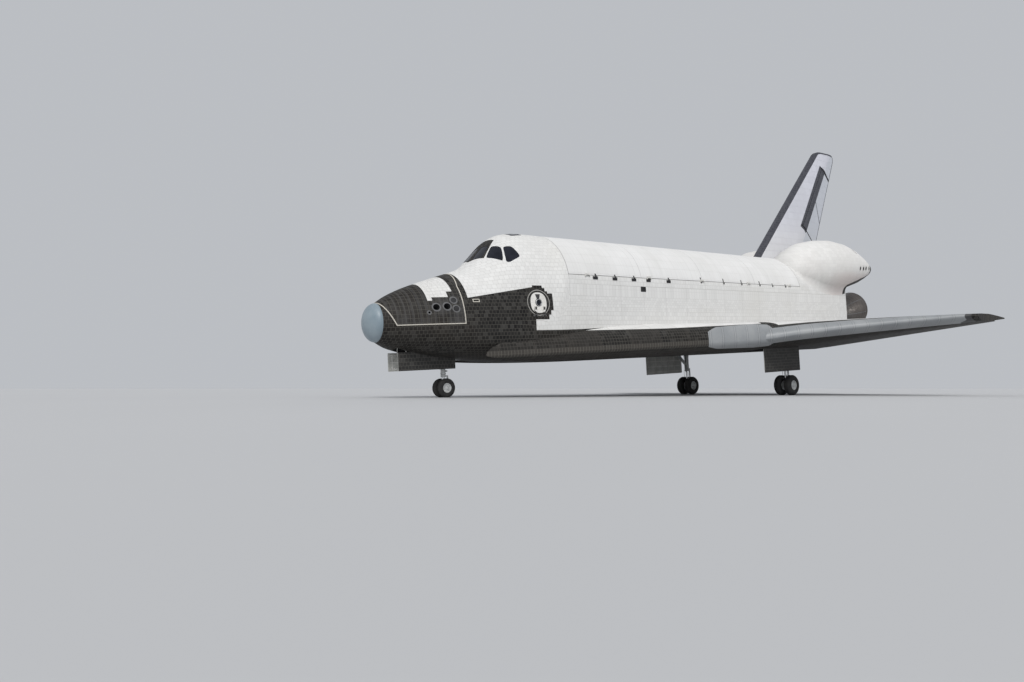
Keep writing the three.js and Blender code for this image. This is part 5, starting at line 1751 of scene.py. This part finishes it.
def pod_fairings():
    lower = []
    upper = []
    for y in [1310.5, *np.linspace(1314, 1508, 40)]:
        grown = math.sqrt(min(1, (y - 1306) / 60))
        lower.append(fairing_ring(y, 20, -88, 20 * grown))
        upper.append(fairing_ring(y, 70, 178, 9 * grown))
    shape = joined(lofted(lower), lofted(upper))
    for side, sign in SIDES:
        piece(f"pod_fairing_{side}", shape, "pod", sign=sign, smooth=50)


def pods():
    levels = np.unique(np.concatenate([np.linspace(1309, 1548, 34), POD[:, 0]]))
    rings = [pod_section(y, turns(72)) for y in levels]
    x, front, z = POD_ENGINE
    seat = spun([(15.1, -0.1), (15.1, 23.4), (25, 48), (25, 90)], POD_ENGINE, (x, front + 1, z), 64)
    for side, sign in SIDES:
        made = built(f"pod_skin_{side}", lofted(rings), ["pod", "dark"])
        carve(made, [
            cutter(block((-60, 17), (1290, 1600), (380, 600), 0.01)),
            cutter(top_engine_room(50.4, 64)),
            cutter(seat, 1),
            *(cutter(pod_slot(station, level), 1) for station, level in POD_SLOTS),
        ])
        if sign < 0:
            flip(made)
        rides(shade(made), "orbiter", f"manoeuvring_pod_{side}")
        bands = [0.2, 0.4, 0.6, 0.8, 0.95]
        node = f"manoeuvring_engine_{side}"
        nozzle(f"pod_bell_{side}", (sign * x, front, z), Y, POD_BELL, bands, node, np.arange(3) * 2.1)


# Landing gear
MAIN_GEAR = {"x": 136, "y": 1172, "axle": 189.5, "tyre": 22.25, "width": 16, "rim": 10.5, "track": 24}
NOSE_GEAR = {"x": 0, "y": 377, "tyre": 16, "width": 8.8, "rim": 8, "track": 17}
NOSE_GEAR["axle"] = MAIN_GEAR["axle"] + (
    (MAIN_GEAR["y"] - NOSE_GEAR["y"]) * math.sin(PITCH) - (MAIN_GEAR["tyre"] - NOSE_GEAR["tyre"])
) / math.cos(PITCH)


def tyre(gear, x):
    """A tyre with a grooved tread and rounded shoulders."""
    half, outer, seat = gear["width"] / 2, gear["tyre"], gear["rim"] + GAP
    wall = seat + (outer - seat) * 0.45
    shoulder = outer - 1.2
    points = [(seat, -half * 0.8), (seat + 0.8, -half * 0.86)]
    for angle in np.linspace(-math.pi / 2, math.pi / 2, 33):
        across, bulge = math.sin(angle), math.cos(angle)
        r = seat + (outer - seat) * bulge ** 0.75
        if r > wall * 0.9:
            points.append((min(r, outer), half * np.sign(across) * abs(across) ** 0.62))
    points += [(seat + 0.8, half * 0.86), (seat, half * 0.8)]
    for centre in (-0.36, -0.12, 0.12, 0.36):
        for shift, depth in ((-0.32, 0.02), (-0.2, 0.5), (0.2, 0.5), (0.32, 0.02)):
            points.append((outer - depth, half * centre + shift))
    low = [p for p in points if p[0] < shoulder and p[1] < 0]
    high = [p for p in points if p[0] < shoulder and p[1] >= 0]
    tread = [p for p in points if p[0] >= shoulder]
    outline = [*sorted(low), *sorted(tread, key=lambda p: p[1]), *sorted(high, key=lambda p: -p[0])]
    return spun(outline, (x, gear["y"], gear["axle"]), (x + 1, gear["y"], gear["axle"]), 72, closed=True)


def rim(gear, x, out):
    """A wheel with a dished face, a ring of bosses and a ring of bolts."""
    half, radius = gear["width"] / 2, gear["rim"]
    hub = radius * 0.28
    outline = [
        (0.3, half * 0.72), (hub * 0.9, half * 0.7), (hub, half * 0.62), (hub * 1.25, half * 0.45),
        (radius * 0.62, half * 0.3), (radius * 0.8, half * 0.34), (radius * 0.86, half * 0.66),
        (radius * 0.9, half * 0.76), (radius * 0.98, half * 0.76), (radius, half * 0.7),
        (radius, -half * 0.7), (radius * 0.95, -half * 0.74), (radius * 0.8, -half * 0.6),
        (radius * 0.5, -half * 0.5), (hub, -half * 0.55), (0.3, -half * 0.6),
    ]
    start = np.array([x, gear["y"], gear["axle"]], float)
    outwards = X * out
    parts = [spun(outline, start, start + outwards, 60)]
    boss = [(radius * 0.13, 0), (radius * 0.13, 0.5), (radius * 0.09, 0.7), (radius * 0.075, 0.3)]
    for angle in turns(9):
        face = start + (Y * math.cos(angle) + Z * math.sin(angle)) * radius * 0.68 + outwards * half * 0.31
        parts.append(spun(boss, face, face + outwards, 16))
        angle += 0.35
        face = start + (Y * math.cos(angle) + Z * math.sin(angle)) * radius * 0.42 + outwards * half * 0.4
        parts.append(rod(face, face + outwards * 0.8, radius * 0.045, sides=6))
    return parts


def wheels(gear, x, body, rims, tyres):
    """Two tyres, given by their names and nodes from port on, and the rims and axle between them."""
    y, axle = gear["y"], gear["axle"]
    parts = []
    for (name, node), side in zip(tyres, (1, -1)):
        at = x + side * gear["track"] / 2
        piece(name, tyre(gear, at), "rubber", body, node, smooth=50)
        parts += rim(gear, at, side)
    inner = gear["track"] / 2 - gear["width"] / 2 * 0.55
    parts.append(cross_rod(x, inner, y, axle, gear["rim"] * 0.26))
    for side in (1, -1):
        start, end = ((x + side * (inner + shift), y, axle) for shift in (-1.6, 0.3))
        parts.append(rod(start, end, gear["rim"] * 0.62, sides=36))
    piece(rims, joined(*parts), "gear_paint", body, body, smooth=35)


def link(y, z, outline, half, x=0):
    """A plate of the torque links, from its outline's distances from y and z."""
    return prism([(y + dy, z + dz) for dy, dz in outline], "x", x - half, x + half)


def main_gear(side, sign):
    x, y, axle = (MAIN_GEAR[key] for key in ("x", "y", "axle"))
    roof = MAIN_WELL[2] - GAP
    tyres = [(f"main_rubber_{place}_{side}", f"main_tyre_{place}_{side}") for place in ("outer", "inner")]
    wheels(MAIN_GEAR, sign * x, f"main_wheels_{side}", f"main_rims_{side}", tyres[::sign])
    leg = [
        rod((x, y, roof), (x, y, 226), 5.2, sides=36),
        spun([(5.2, 0), (5.9, 0.5), (5.9, 3), (5.2, 3.6)], (x, y, 226), (x, y, 230), 36),
        spun([(5.2, 0), (5.8, 0.4), (5.8, 2.4), (5.2, 2.8)], (x, y, 262), (x, y, 266), 36),
        cross_rod(x, 20, y, roof - 4, 4, 28),
        rod((x, y, 238), (x - 4, y - 62, roof - 1.5), 2.3, 2.1, 20),
        rod((x, y, 238), (x + 12, y - 62, roof - 1.5), 2.3, 2.1, 20),
        cross_rod(x + 2.05, 4.25, y - 33, 270.3, 1.2, 14),
        spun([(2.4, 0), (3.1, 0.4), (3.1, 3), (2.4, 3.4)], (x, y, 238), (x - 4, y - 62, roof), 20),
        block((x - 3, x + 3), (y - 3.4, y + 3.4), (axle - 3.4, axle + 5), 1.2),
    ]
    node = f"main_gear_leg_{side}"
    piece(f"main_leg_{side}", joined(*leg), "gear_paint", node=node, sign=sign, smooth=35)
    bright = [
        rod((x, y, 230), (x, y, axle + 4), 3.55, sides=36, chamfer=0.05),
        cross_rod(x, 1.9, y + 9.5, axle + 5.5, 0.7, 12),
        cross_rod(x, 1.9, y + 9.5, 231.5, 0.7, 12),
    ]
    piece(f"main_piston_{side}", joined(*bright), "chrome", sign=sign, smooth=35)
    links = [
        link(y, axle, [(3.2, 4.2), (10.6, 4.2), (11, 7.4), (3.2, 7.4)], 1.6, x),
        link(y, 0, [(4.8, 229.6), (10.6, 229.6), (10.8, 233), (4.8, 234)], 1.6, x),
        link(y, 0, [(8.4, axle + 5), (10.8, axle + 5), (11, 213.2), (9, 213.2)], 1.3, x),
        link(y, 0, [(8.8, 213.6), (11, 213.6), (10.8, 232.6), (8.4, 232.6)], 1.3, x),
    ]
    piece(f"main_links_{side}", joined(*links), "steel", sign=sign)
    hoses = []
    for shift, bulge in ((-2.2, 1.0), (2.2, 1.6)):
        low = x + shift * 1.6
        path = [(x + shift, y - 5.4, 290), (x + shift, y - 5.9 - bulge, 262), (x + shift, y - 6.2, 240),
                (low, y - 5.8 - bulge, 220), (low, y - 4.6, 202), (low, y - 3.4, 192)]
        hoses.append(tube(eased(path), 0.34, 8))
    piece(f"main_hoses_{side}", joined(*hoses), "hose", sign=sign)


# Gear doors: outer face, stations and heights of the plate, then of the frame inside it the rails'
# heights and half width, the ribs' reach, half width, heights and first station, and the arms' station,
# feet, heads and radius
MAIN_DOOR = {
    "wall": MAIN_WELL[0][1], "ends": (1052, 1184), "heights": (222, 281),
    "rails": ((228, 241, 254, 267, 277), 3.4, 0.9), "ribs": (3.2, 1, (225, 279), 8),
    "arms": (14, 276, 9, 302, 0.8),
}
NOSE_DOOR = {
    "wall": NOSE_WELL[0], "ends": (285.5, 390.5), "heights": (262, 292),
    "rails": ((266, 277, 288), 3.2, 0.8), "ribs": (3.0, 0.9, (264, 290), 7),
    "arms": (16, 288, 7, 311, 0.7),
}


def gear_door(kind, door, side, sign):
    wall = door["wall"] - GAP
    low, high = door["ends"]
    node = f"{kind}_gear_door_{side}"
    plate = block((wall - 2, wall), door["ends"], door["heights"], 0.5)
    piece(f"{kind}_door_{side}", plate, "door_tiles", node=node, sign=sign)
    frame_parts = []
    heights, reach, half = door["rails"]
    for z in heights:
        frame_parts.append(block((wall - reach, wall - 1.9), (low + 3, high - 3), (z - half, z + half), 0.3))
    reach, half, heights, margin = door["ribs"]
    for at in np.linspace(low + margin, high - margin, 6):
        frame_parts.append(block((wall - reach, wall - 1.9), (at - half, at + half), heights, 0.3))
    margin, foot, reach, head, radius = door["arms"]
    for at in (low + margin, high - margin):
        frame_parts.append(rod((wall - 2.4, at, foot), (wall - reach, at, head), radius, sides=12))
    piece(f"{kind}_door_frame_{side}", joined(*frame_parts), "white_paint", sign=sign)


def nose_gear():
    y, axle = NOSE_GEAR["y"], NOSE_GEAR["axle"]
    roof = NOSE_WELL[2] - GAP
    tyres = [(f"nose_rubber_{side}", f"nose_tyre_{side}") for side, _ in SIDES]
    wheels(NOSE_GEAR, 0, "nose_wheels", "nose_rims", tyres)
    split = axle + 22  # where the fork turns in the leg
    brace_z = split + 9 + 34 * (roof - split - 9) / 60
    leg = [
        rod((0, y, roof), (0, y, split + 0.05), 4, sides=36),
        spun([(4, 0), (4.7, 0.4), (4.7, 2.6), (4, 3)], (0, y, split + 0.3), (0, y, split + 4), 36),
        cross_rod(0, 16, y, roof - 5, 3),
        rod((0, y, split + 9), (-9, y - 60, roof - 1), 1.75, sides=18),
        rod((0, y, split + 9), (9, y - 60, roof - 1), 1.75, sides=18),
        cross_rod(0, 5.5, y - 34, brace_z, 1.0, 12),
        block((-2.6, 2.6), (y - 6.4, y - 3.4), (split + 9, split + 20), 0.5),
        cross_rod(0, 5.4, y + 4.4, split + 6, 1.3, 16),
    ]
    piece("nose_leg", joined(*leg), "gear_paint", node="nose_gear_leg", smooth=35)
    fork = [
        spun([(3.6, 0), (4.4, 0.5), (4.4, 3.6), (3.2, 4)], (0, y, split - 4), (0, y, split), 36),
        cross_rod(0, 2.4, y, axle, 3.75, 32),
        link(y, axle, [(2.5, 3.6), (8.6, 4.4), (9, 6.6), (2.5, 6.6)], 1.2),
        link(y, split, [(2.6, -3.6), (8.6, -3.2), (9, -1.2), (2.6, -0.8)], 1.2),
        link(y, axle, [(6.6, 4.6), (9, 4.8), (9.4, 12.4), (7.6, 12.4)], 0.9),
        link(y, axle, [(7.6, 12.7), (9.4, 12.7), (9, 20.6), (6.8, 20.4)], 0.9),
    ]
    piece("nose_fork_body", joined(*fork), "gear_paint", "nose_fork", "nose_gear_fork", smooth=35)
    piston = rod((0, y, split - 3.5), (0, y, axle + 2), 2.85, sides=32, chamfer=0.04)
    piece("nose_piston", piston, "chrome", "nose_fork", smooth=35)
    bowl = [(0.4, 0), (1.9, 0.5), (2.3, 1.6), (2.3, 2.2), (2.0, 2.2), (1.8, 1.4), (0.3, 0.9)]
    lamps = [spun(bowl, (x, y - 6.4, split + 14), (x, y - 9, split + 13.7), 28) for x in (-3.4, 3.4)]
    piece("nose_lamps", joined(*lamps), "chrome", smooth=35)


def side_vents():
    """Black louvred vents along the doors' hinge line, and one grille on the flank."""
    parts = []
    for station in VENTS:
        for z in (410.4, 412.0, 413.6):
            parts.append(block((104.6, 105.5), (station - 5.5, station + 5.5), (z - 0.7, z + 0.6), 0.15))
        parts.append(block((104.2, 105.25), (station - 5.8, station + 5.8), (409.4, 414.8), 0.15))
        parts.append(block((104.2, 105.3), (station - 0.1, station + 3.1), (414.6, SILL - 0.05), 0.1))
    for station, half, _ in SLITS:
        parts.append(block((104.3, 105.3), (station - half, station + half), (412.5, 416.2), 0.15))
    for k in range(5):
        z = 391.2 + k * 1.7
        parts.append(block((104.7, 105.7), (755.6, 768.4), (z - 0.75, z + 0.55), 0.15))
    parts.append(block((104.3, 105.35), (755, 769), (390, 399.6), 0.15))
    for side, sign in SIDES:
        piece(f"side_vents_{side}", joined(*parts), "dark", sign=sign)


def strut_pad(name, x, y, z):
    """A flat pad on the belly with four bolts, where a strut can hold the orbiter."""
    half, bolt = 7, 4.6
    parts = [block((x - half, x + half), (y - half, y + half), (z, z + 12), 0.4)]
    for dx in (-bolt, bolt):
        for dy in (-bolt, bolt):
            parts.append(rod((x + dx, y + dy, z - 0.35), (x + dx, y + dy, z + 0.3), 0.9, sides=6))
    piece(name, joined(*parts), "steel")


nose_cap()
forward_skin()
thruster_module()
panes()
crew_hatch()
mid_fuselage()
for side, sign in SIDES:
    bay_door(side, sign)
aft_fuselage()
body_flap()
for side, sign in SIDES:
    wing(side, sign)
fin()
pods()
pod_fairings()
for side, sign in SIDES:
    main_gear(side, sign)
    gear_door("main", MAIN_DOOR, side, sign)
nose_gear()
for side, sign in SIDES:
    gear_door("nose", NOSE_DOOR, side, sign)
side_vents()
strut_pad("strut_pad_front", 0, 402, 275.8)
strut_pad("strut_pad_rear_left", 72, 1318, 266.6)
strut_pad("strut_pad_rear_right", -72, 1318, 266.6)

# The flight deck's own mesh from the CAD stays, with a finish of its own
for slot in frame["nodes"]["flight_deck"].material_slots:
    slot.link = "OBJECT"
    slot.material = FINISHES["cabin"]

# Stage: a pale floor, soft light and the camera
floor_finish = Finish("floor")
spread = floor_finish.noise(0.08, 3.0)
floor_finish.done(floor_finish.mix(spread, (0.525, 0.53, 0.54), (0.555, 0.56, 0.57)), 0.8)
mesh = bpy.data.meshes.new("floor")
mesh.from_pydata((600 * circle(96, X, Y)).tolist(), [], [tuple(range(96))])
mesh.materials.append(floor_finish.material)
floor = bpy.data.objects.new("floor", mesh)
bpy.context.scene.collection.objects.link(floor)

world = bpy.data.worlds.new("studio")
world.use_nodes = True
world.node_tree.nodes["Background"].inputs[0].default_value = (0.86, 0.89, 0.94, 1)
world.node_tree.nodes["Background"].inputs[1].default_value = 0.58
bpy.context.scene.world = world
bpy.context.scene.view_settings.view_transform = "Standard"


def sun(name, strength, direction, angle, colour):
    lamp = bpy.data.lights.new(name, "SUN")
    lamp.energy = strength
    lamp.angle = math.radians(angle)
    lamp.color = colour
    made = bpy.data.objects.new(name, lamp)
    made.rotation_euler = Vector(direction).to_track_quat("Z", "Y").to_euler()
    bpy.context.scene.collection.objects.link(made)


sun("key", 1.8, (0.62, -0.42, 0.75), 22, (1.0, 0.985, 0.96))
sun("fill", 0.45, (0.75, -0.7, 0.18), 50, (0.95, 0.97, 1.0))

lens = bpy.data.cameras.new("camera")
lens.sensor_width = 36.0
lens.lens = 23.66
lens.clip_end = 2000.0
camera = bpy.data.objects.new("camera", lens)
camera.location = (24.88, -29.21, 0.4)
camera.rotation_euler = (math.radians(94), 0, math.radians(143.7 - 90))
bpy.context.scene.collection.objects.link(camera)
bpy.context.scene.camera = camera
